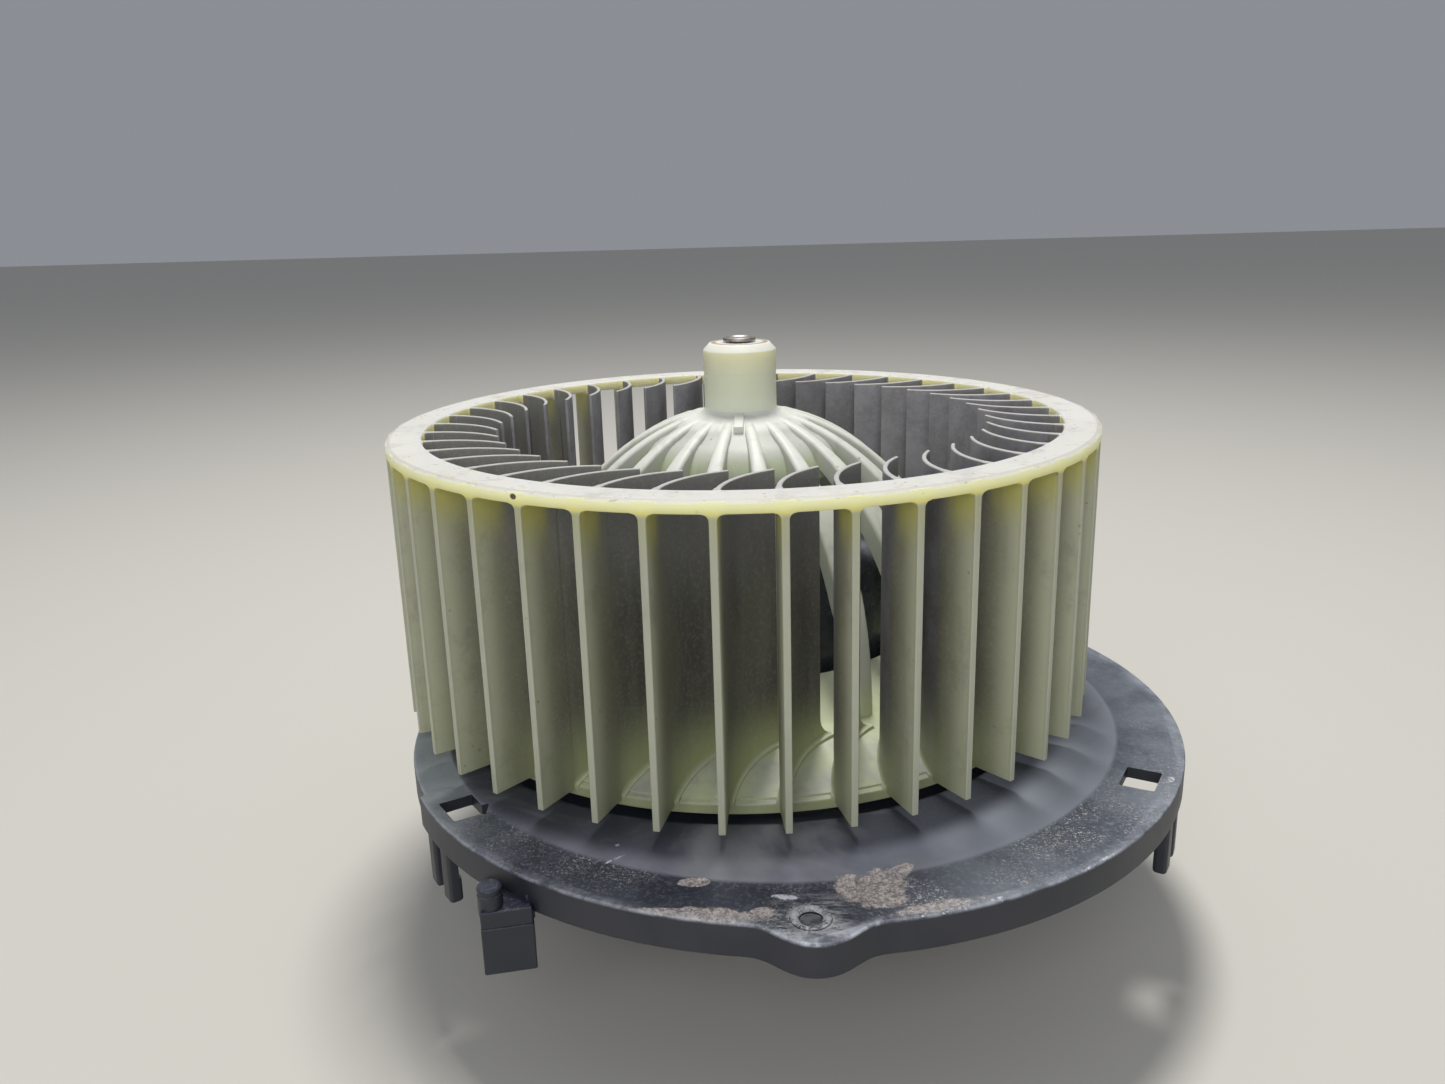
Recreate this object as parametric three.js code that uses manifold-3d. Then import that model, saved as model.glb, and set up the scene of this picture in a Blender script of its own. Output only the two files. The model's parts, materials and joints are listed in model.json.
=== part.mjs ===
// Heater blower: a squirrel-cage fan wheel on a brush motor, held in an offset mounting flange.
// Units are millimetres and +Z is up. The origin is on the spin axis, at the centre of the
// motor cover's flat underside, so the blower stands on Z = 0 and the wheel is at the top.

import * as THREE from 'three';
import { mergeVertices } from 'three/addons/utils/BufferGeometryUtils.js';
import Module from 'manifold-3d';

const wasm = await Module();
wasm.setup();

// ---------------------------------------------------------------- driving dimensions

const degree = Math.PI / 180;
const gap = 0.3;                 // between separate pieces that touch
const runningGap = 0.06;         // between the shaft and its two bushes

const wheel = {
  radius: 75,
  top: 102,
  phase: 2.9,                    // degrees that the moulding stands turned on the shaft
  bladeCount: 41,
  bladeThickness: 1.2,
  bladeBottom: 43.3,
  bladeTopDrop: 0.2,             // blade edges below the ring's top face
  straightFrom: 68,              // the blade is radial outside this radius
  curlRadius: 19.5,              // and follows this arc inside it
  curlAngle: 57,
  ringInner: 67.8,
  ringHeight: 2.3,
};

const hub = {
  rimRadius: 65.6,
  rimBottom: 42.0,
  rimTop: 44.1,
  kneeRadius: 50.5,
  kneeTop: 50.3,
  innerRadius: 38,
  innerTop: 57,
  thickness: 2.2,
  sides: 27,
};

const dome = {
  centre: 44.5,                  // height of the ellipse's centre
  radius: 50,
  rise: 60,
  webDrop: 1.2,                  // webs between the ribs sit lower than the ribs' backs
  capDepth: 3.8,                 // from the ribs' backs down to the cap's underside
  capRadius: 24,
  collarRadius: 13,
};

const rib = {
  count: 18,
  phase: -5.2,                   // degrees from +X to the first rib
  depth: 3.5,
  from: 12,
  halfWidthFrom: 1,
  widestAt: 41,
  halfWidest: 2.7,
  to: 51,
  halfWidthTo: 1.3,
  shortFrom: 12,
  shortTo: 15,
  shortHalfWidth: 1,
};

const boss = { radius: 7.8, top: 118.1, bottom: 88, chamfer: 1.5 };

const shaft = { radius: 3, bottom: 4.9, chamfer: 0.3 };

const shaftCap = { radius: 3.55, height: 0.8, dishRadius: 2.6, dishDepth: 0.3 };

const thrustWasher = { radius: 6, bottoms: { upper: 72.6, lower: 10.6 }, thickness: 0.9 };

const flange = {
  x: 9.1,                        // centre of the outer edge
  y: -16.65,
  radius: 80.7,
  top: 40.8,
  plate: 3,
  skirt: 6,
  wall: 2.6,
  backRadius: 70,                // centred on the axis, so the recess keeps its wall at the back
  recessRadius: 66,
  recessWall: 2.5,
  floorTop: 37.6,
  floorBottom: 34.8,
  collarTop: 46,
};

const lobe = { x: 9.7, y: -95.2, radius: 7, halfWidth: 10.5, base: -1.3, hole: 2.6, boss: 4.6 };

const slot = { radial: 6.4, along: 8, placed: [[-145.8, 75], [-29.2, 73.7]] };    // angle, reach

const clipLeg = {
  inner: 77.6,
  outer: 80.3,
  bottom: 24,
  width: 3.8,
  angles: [-144.5, -149.5, -30.8, -26],
};

const lock = {
  x: -41.1,
  y: -81.2,
  turn: 12,
  halfWidth: 4.4,
  front: -4.6,
  back: 6,
  bottom: 24.8,
  top: 36.5,
  postX: -43.1,
  postY: -83.7,
  postRadius: 2.1,
  postTop: 40.4,
};

const motor = {
  radius: 34.5,
  wall: 1.8,
  bottom: 9,
  top: 78,
  shoulder: 5,
  hubRadius: 9,
  hubTop: 83.3,
  hubWall: 1.6,
  mouth: 4.2,
  collar: 38.5,                  // inner radius of the flange's motor collar
  collarWall: 3,
};

const cover = {
  height: 11.7,
  floor: 2.5,
  wall: 2.7,
  edge: 1,
  vents: 6,
  ventRadius: 3.2,
  ventReach: 26,
};

const ear = {
  angles: [30, 150, 270],
  reach: 45.2,
  radius: 4,
  bottom: 5.7,
  height: 8,                     // of the flange's ears above the joint
  hole: 1.9,
  holeDepth: 7,
};

const screw = { headRadius: 3.2, headBottom: 3, headTop: 5.4, radius: 1.6, end: 17.5, tip: 18.3 };

const ring = { height: 6, bottoms: { upper: 39.5, lower: 14 } };

const magnet = { inner: 28, bottom: 25, top: 65, halfAngle: 58 };

const magnetSpring = { thickness: 1, bottom: 30, top: 60, halfAngle: 27 };

const bearing = { waist: 5.4, radius: 7.1, upper: [76.4, 81.4], lower: [4.9, 9.3] };

const bearingClip = { inner: 4, upper: [11.5, 75.1, 75.8], lower: [7.1, 9.6, 10.2] };

const commutator = {
  radius: 11,
  bottom: 11.7,
  top: 20.5,
  riser: 13,
  riserHeight: 2,
  bars: 12,
  groove: 0.8,
};

const armature = {
  radius: 27.3,
  bottom: 28,
  top: 62,
  slots: 10,
  lip: 1.8,
  slotDepth: 11.5,
  slotHalfWidth: 2.2,
  mouthHalfWidth: 0.9,
};

const winding = { inner: 11, bottom: 21.8, top: 69, lowRadius: 23, highRadius: 25 };

const card = {
  bottom: 6,
  top: 8.7,
  cupBottom: 2.8,
  cupFloor: 4.6,
  cupRadius: 9.5,
  cupInner: 7.4,
  cupTop: 10.4,
  holeRadius: 2.6,
  holeReach: 28.5,
};

const brush = { inner: 11.3, length: 11, width: 6, height: 5, middle: 15 };

const holder = { inner: 13.2, outer: 27.5, wall: 0.6, clear: 0.3 };

const pedestal = { inner: 14, outer: 27, halfWidth: 3 };

const brushSpring = { radius: 1.9, length: 4 };

const choke = { radius: 3, length: 15, reach: 22 };

const socket = {
  halfWidth: 12,
  near: 42,
  far: 58,
  bottom: 0.4,
  top: 9.4,
  wall: 1.3,
  neckHalfWidth: 10,
  neckFrom: 37,
  neckBottom: 2.5,
  neckTop: 7.5,
};

const terminal = { x: 5, halfWidth: 3.15, from: 24, to: 53, bottom: 4.5, top: 5.3 };

// ---------------------------------------------------------------- shape helpers

// A closed geometry as a solid for joining and cutting.
function solid(geometry) {
  const bare = geometry.index ? geometry.toNonIndexed() : geometry.clone();
  bare.deleteAttribute('normal');
  bare.deleteAttribute('uv');
  const merged = mergeVertices(bare, 1e-4);
  const corners = merged.index.array;
  const kept = [];
  for (let i = 0; i < corners.length; i += 3) {
    const [a, b, c] = corners.slice(i, i + 3);
    if (a !== b && b !== c && c !== a) kept.push(a, b, c);
  }
  const mesh = new wasm.Mesh({
    numProp: 3,
    vertProperties: merged.attributes.position.array,
    triVerts: Uint32Array.from(kept),
  });
  return new wasm.Manifold(mesh);
}

function geometryOf(shape) {
  const mesh = shape.getMesh();
  const geometry = new THREE.BufferGeometry();
  geometry.setAttribute('position', new THREE.BufferAttribute(mesh.vertProperties, 3));
  geometry.setIndex(new THREE.BufferAttribute(mesh.triVerts, 1));
  return geometry;
}

function join(...geometries) {
  return geometryOf(geometries.map(solid).reduce((whole, next) => whole.add(next)));
}

function cut(geometry, ...tools) {
  return geometryOf(tools.map(solid).reduce((whole, tool) => whole.subtract(tool), solid(geometry)));
}

function common(a, b) {
  return geometryOf(solid(a).intersect(solid(b)));
}

// A body of revolution about Z. The profile runs anticlockwise in (radius, height); one that
// doesn't start on the axis is closed back to its first point.
function turned(profile, sides = 36) {
  const closed = profile[0][0] === 0 ? profile : [...profile, profile[0]];
  const points = closed.map(([r, z]) => new THREE.Vector2(r, z));
  const geometry = new THREE.LatheGeometry(points, sides);
  geometry.rotateX(Math.PI / 2);
  geometry.rotateZ(Math.PI / 2);
  return geometry;
}

function tube(inner, outer, bottom, top, sides = 36) {
  return turned([[inner, bottom], [outer, bottom], [outer, top], [inner, top]], sides);
}

function disc(radius, bottom, top, x = 0, y = 0, sides = 36) {
  const geometry = new THREE.CylinderGeometry(radius, radius, top - bottom, sides);
  geometry.rotateX(Math.PI / 2);
  geometry.translate(x, y, (top + bottom) / 2);
  return geometry;
}

// A cylinder lying along X.
function roller(radius, length, x, y, z, sides) {
  const geometry = new THREE.CylinderGeometry(radius, radius, length, sides);
  geometry.rotateZ(Math.PI / 2);
  geometry.translate(x, y, z);
  return geometry;
}

function block(x0, x1, y0, y1, z0, z1) {
  const geometry = new THREE.BoxGeometry(x1 - x0, y1 - y0, z1 - z0);
  geometry.translate((x0 + x1) / 2, (y0 + y1) / 2, (z0 + z1) / 2);
  return geometry;
}

function raised(shape, bottom, top, curveSegments = 6) {
  const geometry = new THREE.ExtrudeGeometry(shape, {
    depth: top - bottom,
    bevelEnabled: false,
    curveSegments,
  });
  geometry.translate(0, 0, bottom);
  return geometry;
}

function spun(geometry, degrees) {
  return geometry.clone().rotateZ(degrees * degree);
}

function around(count, geometry, phase = 0) {
  return Array.from({ length: count }, (_, i) => spun(geometry, phase + (i * 360) / count));
}

// A plan that is symmetric about X, from its half widths along X.
function mirroredPlan(half) {
  const left = half.map(([x, y]) => new THREE.Vector2(x, y)).reverse();
  const right = half.map(([x, y]) => new THREE.Vector2(x, -y));
  return new THREE.Shape([...right, ...left]);
}

// Part of a ring in plan, centred on +X.
function arcShape(inner, outer, halfAngle) {
  const shape = new THREE.Shape();
  shape.absarc(0, 0, outer, -halfAngle * degree, halfAngle * degree, false);
  shape.absarc(0, 0, inner, halfAngle * degree, -halfAngle * degree, true);
  return shape;
}

// ---------------------------------------------------------------- materials

function material(color, roughness, metalness = 0) {
  return new THREE.MeshStandardMaterial({ color, roughness, metalness });
}

const wheelPlastic = material(0xc9c9a8, 0.55);
const flangePlastic = material(0x3a3e46, 0.6);
const cardPlastic = material(0x2b2b2b, 0.6);
const canPaint = material(0x141518, 0.25);
const steel = material(0x8f8c88, 0.35, 1);
const lamination = material(0x5d5a57, 0.5, 0.8);
const copper = material(0xb5673a, 0.35, 1);
const brass = material(0xb99b55, 0.35, 1);
const bronze = material(0x8c6a45, 0.5, 0.9);
const ferrite = material(0x2e2e30, 0.7);
const carbon = material(0x1c1c1e, 0.5);
const rubber = material(0x18181a, 0.85);

// ---------------------------------------------------------------- assembly

const blower = new THREE.Group();

function add(name, geometry, look) {
  const mesh = new THREE.Mesh(geometry, look);
  mesh.name = name;
  blower.add(mesh);
  return mesh;
}

// ---------------------------------------------------------------- fan wheel

// The blade runs straight in from the rim and then curls the way that the wheel turns.
function bladeSolid() {
  const half = wheel.bladeThickness / 2;
  const outerEnd = wheel.radius - 0.1;
  const turn = wheel.curlAngle * degree;
  const start = wheel.straightFrom;
  const side = (offset) => {
    const radius = wheel.curlRadius - offset;
    return {
      bend: [start - radius * Math.tan(turn / 2), offset],
      tip: [start - radius * Math.sin(turn), wheel.curlRadius - radius * Math.cos(turn)],
    };
  };
  const front = side(half);
  const back = side(-half);
  const shape = new THREE.Shape();
  shape.moveTo(outerEnd, -half);
  shape.lineTo(outerEnd, half);
  shape.lineTo(start, half);
  shape.quadraticCurveTo(...front.bend, ...front.tip);
  shape.lineTo(...back.tip);
  shape.quadraticCurveTo(...back.bend, start, -half);
  return raised(shape, wheel.bladeBottom, wheel.top - wheel.bladeTopDrop, 3);
}

function ringSolid() {
  const bottom = wheel.top - wheel.ringHeight;
  return tube(wheel.ringInner, wheel.radius, bottom, wheel.top, wheel.bladeCount);
}

function hubSolid() {
  return turned([
    [hub.innerRadius, hub.innerTop - hub.thickness],
    [hub.kneeRadius, hub.kneeTop - hub.thickness],
    [hub.rimRadius - 1, hub.rimBottom],
    [hub.rimRadius, hub.rimBottom],
    [hub.rimRadius, hub.rimTop],
    [hub.kneeRadius, hub.kneeTop],
    [hub.innerRadius, hub.innerTop],
  ], hub.sides);
}

// Everything under the middle of the hub cone, where blades and ribs must not show.
function underHub() {
  const half = hub.thickness / 2;
  return turned([
    [0, 0],
    [hub.rimRadius - gap, 0],
    [hub.rimRadius - gap, hub.rimBottom + half],
    [hub.kneeRadius, hub.kneeTop - half],
    [hub.innerRadius, hub.innerTop - half],
    [0, hub.innerTop - half],
  ], hub.sides);
}

// Points along the dome at a depth under its surface, climbing from one radius to a smaller one.
function domeArc(depth, from, to, steps) {
  const radius = dome.radius - depth;
  const angle = (r) => Math.acos(Math.min(r / radius, Math.cos(5 * degree)));
  const curve = new THREE.EllipseCurve(
    0, dome.centre, radius, dome.rise - depth, angle(from), angle(to));
  return curve.getPoints(steps).map((p) => [p.x, p.y]);
}

// Two flat strips of the dome for each rib, turned so that a rib lies along a strip's middle.
const stripAngle = 180 / rib.count;

function ribShell(from, steps) {
  const shell = turned([
    ...domeArc(0, from, shaft.radius + gap, steps),
    ...domeArc(rib.depth, from, shaft.radius + gap, steps).reverse(),
  ], 2 * rib.count);
  return spun(shell, stripAngle / 2);
}

// The cap: plain around the boss, and lower between the ribs.
function capSolid() {
  const bore = shaft.radius + gap;
  return turned([
    ...domeArc(dome.webDrop, dome.capRadius, dome.collarRadius + 1, 2),
    ...domeArc(0, dome.collarRadius, bore, 1),
    ...domeArc(dome.capDepth, dome.capRadius, bore, 2).reverse(),
  ], 2 * rib.count);
}

function ribSolid() {
  const plan = mirroredPlan([
    [rib.from, rib.halfWidthFrom],
    [rib.widestAt, rib.halfWidest],
    [rib.to, rib.halfWidthTo],
  ]);
  return common(ribShell(dome.radius, 5), raised(plan, hub.rimTop, boss.top));
}

function shortRibSolid() {
  const plan = mirroredPlan([
    [rib.shortFrom, rib.shortHalfWidth],
    [rib.shortTo, rib.shortHalfWidth],
  ]);
  return common(ribShell(dome.capRadius, 2), raised(plan, hub.rimTop, boss.top));
}

function bossSolid() {
  const bore = shaft.radius + gap;
  return turned([
    [bore, boss.bottom],
    [boss.radius, boss.bottom],
    [boss.radius, boss.top - boss.chamfer],
    [boss.radius - boss.chamfer, boss.top],
    [bore, boss.top],
  ], 24);
}

function buildWheel() {
  const ribs = around(rib.count, ribSolid(), rib.phase);
  const blades = around(wheel.bladeCount, bladeSolid());
  const standing = cut(join(...blades, ...ribs), underHub());
  const shortRib = spun(shortRibSolid(), rib.phase - 90 + stripAngle);
  const cap = spun(capSolid(), rib.phase + stripAngle / 2);
  const whole = join(standing, ringSolid(), hubSolid(), cap, shortRib, bossSolid());
  const mesh = add('impeller', whole, wheelPlastic);
  mesh.rotation.z = wheel.phase * degree;
}

// ---------------------------------------------------------------- rotor

function buildShaft() {
  const top = boss.top;
  add('shaft', turned([
    [0, shaft.bottom],
    [shaft.radius, shaft.bottom],
    [shaft.radius, top - shaft.chamfer],
    [shaft.radius - shaft.chamfer, top],
    [0, top],
  ], 24), steel);
  for (const [place, bottom] of Object.entries(thrustWasher.bottoms)) {
    const washer = tube(shaft.radius + gap, thrustWasher.radius,
      bottom, bottom + thrustWasher.thickness, 20);
    add(`thrust_washer_${place}`, washer, steel);
  }
  const capBottom = top + gap;
  const capTop = capBottom + shaftCap.height;
  add('shaft_cap', turned([
    [0, capBottom],
    [shaftCap.radius, capBottom],
    [shaftCap.radius, capTop],
    [shaftCap.dishRadius, capTop],
    [0, capTop - shaftCap.dishDepth],
  ], 20), steel);
}

function buildArmature() {
  const { radius, bottom, top, slots, slotHalfWidth, mouthHalfWidth } = armature;
  const pocketOuter = radius - armature.lip;
  const pocketInner = pocketOuter - armature.slotDepth;
  const pocket = block(pocketInner, pocketOuter, -slotHalfWidth, slotHalfWidth,
    bottom - 1, top + 1);
  const mouth = block(pocketOuter - 1, radius + 1, -mouthHalfWidth, mouthHalfWidth,
    bottom - 1, top + 1);
  const core = cut(
    tube(shaft.radius + gap, radius, bottom, top, 3 * slots),
    ...around(slots, pocket),
    ...around(slots, mouth),
  );
  add('armature_core', core, lamination);

  const coilSide = block(pocketInner + gap, pocketOuter - gap,
    gap - slotHalfWidth, slotHalfWidth - gap, bottom - 2, top + 2);
  const endTurns = (low, high) => turned([
    [winding.inner, low],
    [winding.lowRadius, low],
    [winding.highRadius, high],
    [winding.inner, high],
  ], 2 * slots);
  const coils = join(
    endTurns(winding.bottom, bottom - gap),
    endTurns(top + gap, winding.top),
    ...around(slots, coilSide),
  );
  add('armature_winding', coils, copper);
}

function buildCommutator() {
  const { radius, bottom, top, riser, riserHeight } = commutator;
  const bore = shaft.radius + gap;
  const body = turned([
    [bore, bottom],
    [radius, bottom],
    [radius, top - riserHeight],
    [riser, top - riserHeight],
    [riser, top],
    [bore, top],
  ], 2 * commutator.bars);
  const groove = block(radius - commutator.groove, riser + 1, -gap, gap, bottom - 1, top + 1);
  const halfBar = 180 / commutator.bars;
  add('commutator', cut(body, ...around(commutator.bars, groove, halfBar)), copper);
}

// ---------------------------------------------------------------- mounting flange

// The flange outline pulled in by an amount, between two heights.
function flangeBody(inset, bottom, top) {
  const main = disc(flange.radius - inset, bottom, top, flange.x, flange.y, 48);
  const back = disc(flange.backRadius - inset, bottom, top, 0, 0, 32);
  const reach = lobe.radius - inset;
  const half = lobe.halfWidth - inset;
  const base = lobe.base + inset;
  const bend = { x: 6.6 - inset, y: -2.4 + inset };
  const inland = 6;
  const sideAngle = 0.65;
  const shape = new THREE.Shape();
  shape.moveTo(half, base);
  shape.lineTo(half, inland);
  shape.lineTo(-half, inland);
  shape.lineTo(-half, base);
  shape.quadraticCurveTo(-bend.x, bend.y,
    -reach * Math.cos(sideAngle), -reach * Math.sin(sideAngle));
  shape.absarc(0, 0, reach, Math.PI + sideAngle, -sideAngle, false);
  shape.quadraticCurveTo(bend.x, bend.y, half, base);
  const bump = raised(shape, bottom, top, 3);
  bump.translate(lobe.x, lobe.y, 0);
  return join(main, back, bump);
}

// Something placed around the flange's own centre.
function onFlange(geometry, degrees) {
  return spun(geometry, degrees).translate(flange.x, flange.y, 0);
}

function clipSlots() {
  const half = slot.radial / 2;
  return slot.placed.map(([angle, reach]) => onFlange(
    block(reach - half, reach + half, -slot.along / 2, slot.along / 2,
      flange.top - 2 * flange.skirt, flange.top + 2), angle));
}

function clipLegs() {
  const top = flange.top - flange.plate + gap;
  const leg = block(clipLeg.inner, clipLeg.outer, -clipLeg.width / 2, clipLeg.width / 2,
    clipLeg.bottom, top);
  return clipLeg.angles.map((angle) => onFlange(leg, angle));
}

// The locking block beside the skirt, with its round post.
function lockBlock() {
  const body = block(-lock.halfWidth, lock.halfWidth, lock.front, lock.back,
    lock.bottom, lock.top);
  body.rotateZ(lock.turn * degree);
  body.translate(lock.x, lock.y, 0);
  const post = disc(lock.postRadius, lock.top - 0.5, lock.postTop, lock.postX, lock.postY, 14);
  return [body, post];
}

function ears(bottom, top, radius) {
  const one = disc(radius, bottom, top, ear.reach, 0, 12);
  return ear.angles.map((angle) => spun(one, angle));
}

function buildFlange() {
  const bottom = flange.top - flange.skirt;
  const wellOuter = flange.recessRadius + flange.recessWall;
  const collarOuter = motor.collar + motor.collarWall;
  const collarBottom = cover.height + gap;
  const shell = cut(
    flangeBody(0, bottom, flange.top),
    flangeBody(flange.wall, bottom - 1, flange.top - flange.plate),
    disc(flange.recessRadius, bottom - 2, flange.top + 1, 0, 0, 32),
  );
  const well = tube(flange.recessRadius, wellOuter, bottom, flange.top - 0.5, 32);
  const floor = tube(motor.collar + 1, flange.recessRadius + 1,
    flange.floorBottom, flange.floorTop, 32);
  const collar = tube(motor.collar, collarOuter, collarBottom, flange.collarTop, 32);
  const screwBoss = disc(lobe.boss, bottom, flange.top - 1, lobe.x, lobe.y, 16);
  const body = join(shell, well, floor, collar, screwBoss, ...clipLegs(), ...lockBlock(),
    ...ears(collarBottom, collarBottom + ear.height, ear.radius));
  const whole = cut(
    body,
    ...clipSlots(),
    disc(lobe.hole, bottom - 1, flange.top + 1, lobe.x, lobe.y, 16),
    ...ears(collarBottom - 1, collarBottom + ear.holeDepth, ear.hole),
    disc(motor.collar, collarBottom - 1, flange.collarTop + 1, 0, 0, 32),
  );
  add('mounting_flange', whole, flangePlastic);
}

// ---------------------------------------------------------------- motor casing

function buildCan() {
  const outer = motor.radius;
  const inner = outer - motor.wall;
  const under = motor.top - motor.wall;
  const hubInner = motor.hubRadius - motor.hubWall;
  const round = (radius, top, turn) => {
    const curve = new THREE.EllipseCurve(
      radius - turn, top - turn, turn, turn, 0, Math.PI / 2);
    return curve.getPoints(2).map((p) => [p.x, p.y]);
  };
  add('motor_can', turned([
    [outer, motor.bottom],
    ...round(outer, motor.top, motor.shoulder),
    [motor.hubRadius, motor.top],
    [motor.hubRadius, motor.hubTop],
    [motor.mouth, motor.hubTop],
    [motor.mouth, motor.hubTop - motor.hubWall],
    [hubInner, motor.hubTop - motor.hubWall],
    [hubInner, under],
    ...round(inner, under, motor.shoulder - motor.wall).reverse(),
    [inner, motor.bottom],
  ], 32), canPaint);
}

function buildRubberRings() {
  for (const [place, bottom] of Object.entries(ring.bottoms)) {
    const band = tube(motor.radius + gap, motor.collar - gap, bottom, bottom + ring.height, 32);
    add(`rubber_ring_${place}`, band, rubber);
  }
}

function buildCover() {
  const outer = motor.collar + motor.collarWall;
  const inner = outer - cover.wall;
  const cup = turned([
    [0, 0],
    [outer - cover.edge, 0],
    [outer, cover.edge],
    [outer, cover.height],
    [inner, cover.height],
    [inner, cover.floor],
    [0, cover.floor],
  ], 32);
  const vent = disc(cover.ventRadius, -1, cover.floor + 1, cover.ventReach, 0, 10);
  const neckWay = block(-socket.neckHalfWidth - gap, socket.neckHalfWidth + gap,
    inner - 8, outer + 8, socket.neckBottom - gap, socket.neckTop + gap);
  const whole = cut(
    join(cup, ...ears(ear.bottom, cover.height, ear.radius)),
    disc(inner, cover.floor, cover.height + 1, 0, 0, 32),
    ...around(cover.vents, vent, 180 / cover.vents),
    neckWay,
    ...ears(ear.bottom - 1, cover.height + 1, ear.hole),
  );
  add('motor_cover', whole, flangePlastic);
}

function buildScrews() {
  const one = turned([
    [0, screw.headBottom],
    [screw.headRadius, screw.headBottom],
    [screw.headRadius, screw.headTop],
    [screw.radius, screw.headTop],
    [screw.radius, screw.end],
    [0, screw.tip],
  ], 12);
  one.translate(ear.reach, 0, 0);
  ear.angles.forEach((angle, i) => add(`cover_screw_${i + 1}`, spun(one, angle), steel));
}

// ---------------------------------------------------------------- field magnets

function buildMagnets() {
  const outer = motor.radius - motor.wall - gap;
  const pole = raised(arcShape(magnet.inner, outer, magnet.halfAngle),
    magnet.bottom, magnet.top, 10);
  add('magnet_right', pole, ferrite);
  add('magnet_left', spun(pole, 180), ferrite);
  const strip = raised(arcShape(outer - magnetSpring.thickness, outer, magnetSpring.halfAngle),
    magnetSpring.bottom, magnetSpring.top, 6);
  add('magnet_spring_rear', spun(strip, 90), steel);
  add('magnet_spring_front', spun(strip, 270), steel);
}

// ---------------------------------------------------------------- bearings

function buildBearings() {
  for (const place of ['upper', 'lower']) {
    const [bottom, top] = bearing[place];
    const bore = shaft.radius + runningGap;
    const bush = turned([
      [bore, bottom],
      [bearing.waist, bottom],
      [bearing.radius, (bottom + top) / 2],
      [bearing.waist, top],
      [bore, top],
    ], 24);
    add(`bearing_${place}`, bush, bronze);
    add(`bearing_clip_${place}`, tube(bearingClip.inner, ...bearingClip[place], 24), steel);
  }
}

// ---------------------------------------------------------------- brush card

function brushHolder() {
  const halfWidth = brush.width / 2 + holder.clear;
  const halfHeight = brush.height / 2 + holder.clear;
  const low = brush.middle - halfHeight;
  const high = brush.middle + halfHeight;
  const { inner, outer, wall } = holder;
  const box = block(inner, outer, -halfWidth - wall, halfWidth + wall, low - wall, high + wall);
  const way = block(inner - 1, outer - wall, -halfWidth, halfWidth, low, high);
  return cut(box, way);
}

function buildBrushCard() {
  const plate = turned([
    [0, card.cupBottom],
    [card.cupRadius, card.cupBottom],
    [card.cupRadius, card.bottom],
    [motor.radius - gap, card.bottom],
    [motor.radius - gap, card.top],
    [card.cupRadius, card.top],
    [card.cupRadius, card.cupTop],
    [card.cupInner, card.cupTop],
    [card.cupInner, card.cupFloor],
    [0, card.cupFloor],
  ], 24);
  const holderBottom = brush.middle - brush.height / 2 - holder.clear - holder.wall;
  const stand = block(pedestal.inner, pedestal.outer, -pedestal.halfWidth, pedestal.halfWidth,
    card.top - 1, holderBottom - gap);
  const hole = disc(card.holeRadius, card.bottom - 1, card.top + 1, card.holeReach, 0, 10);
  const whole = cut(join(plate, ...around(2, stand)), ...around(2, hole, 45));
  add('brush_card', whole, cardPlastic);
}

function buildBrushes() {
  const outer = brush.inner + brush.length;
  const carbonBlock = block(brush.inner, outer, -brush.width / 2, brush.width / 2,
    brush.middle - brush.height / 2, brush.middle + brush.height / 2);
  const spring = roller(brushSpring.radius, brushSpring.length,
    outer + gap + brushSpring.length / 2, 0, brush.middle, 14);
  for (const [side, angle] of [['right', 0], ['left', 180]]) {
    add(`brush_holder_${side}`, spun(brushHolder(), angle), brass);
    add(`brush_${side}`, spun(carbonBlock, angle), carbon);
    add(`brush_spring_${side}`, spun(spring, angle), steel);
  }
}

function buildChokes() {
  const height = card.top + gap + choke.radius;
  const coil = roller(choke.radius, choke.length, 0, 0, height, 16);
  add('choke_rear', coil.clone().translate(0, choke.reach, 0), copper);
  add('choke_front', coil.clone().translate(0, -choke.reach, 0), copper);
}

// ---------------------------------------------------------------- power socket

function terminalStrip(x, grow) {
  return block(x - terminal.halfWidth - grow, x + terminal.halfWidth + grow,
    terminal.from, terminal.to, terminal.bottom - grow, terminal.top + grow);
}

function buildSocket() {
  const { halfWidth, near, far, bottom, top, wall } = socket;
  const shell = block(-halfWidth, halfWidth, near, far, bottom, top);
  const neck = block(-socket.neckHalfWidth, socket.neckHalfWidth, socket.neckFrom, near + 1,
    socket.neckBottom, socket.neckTop);
  const hollow = block(wall - halfWidth, halfWidth - wall, near + 2, far + 1,
    bottom + wall, top - wall);
  const slits = [terminalStrip(terminal.x, gap), terminalStrip(-terminal.x, gap)];
  add('power_socket', cut(join(shell, neck), hollow, ...slits), cardPlastic);
  add('terminal_right', terminalStrip(terminal.x, 0), brass);
  add('terminal_left', terminalStrip(-terminal.x, 0), brass);
}

buildWheel();
buildShaft();
buildArmature();
buildCommutator();
buildFlange();
buildCan();
buildRubberRings();
buildCover();
buildScrews();
buildMagnets();
buildBearings();
buildBrushCard();
buildBrushes();
buildChokes();
buildSocket();

export default blower;
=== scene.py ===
# Heater blower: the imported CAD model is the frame, and the pieces that show are rebuilt here as fine
# meshes with procedural materials. Lengths in the mesh code are millimetres in the frame's own axes,
# +Z up the spin axis from the underside of the motor cover; Blender objects are in metres.
import json
from math import acos, asin, atan2, cos, degrees, hypot, pi, radians, sin, sqrt, tan

import bmesh
import bpy
from mathutils import Matrix, Vector


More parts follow.
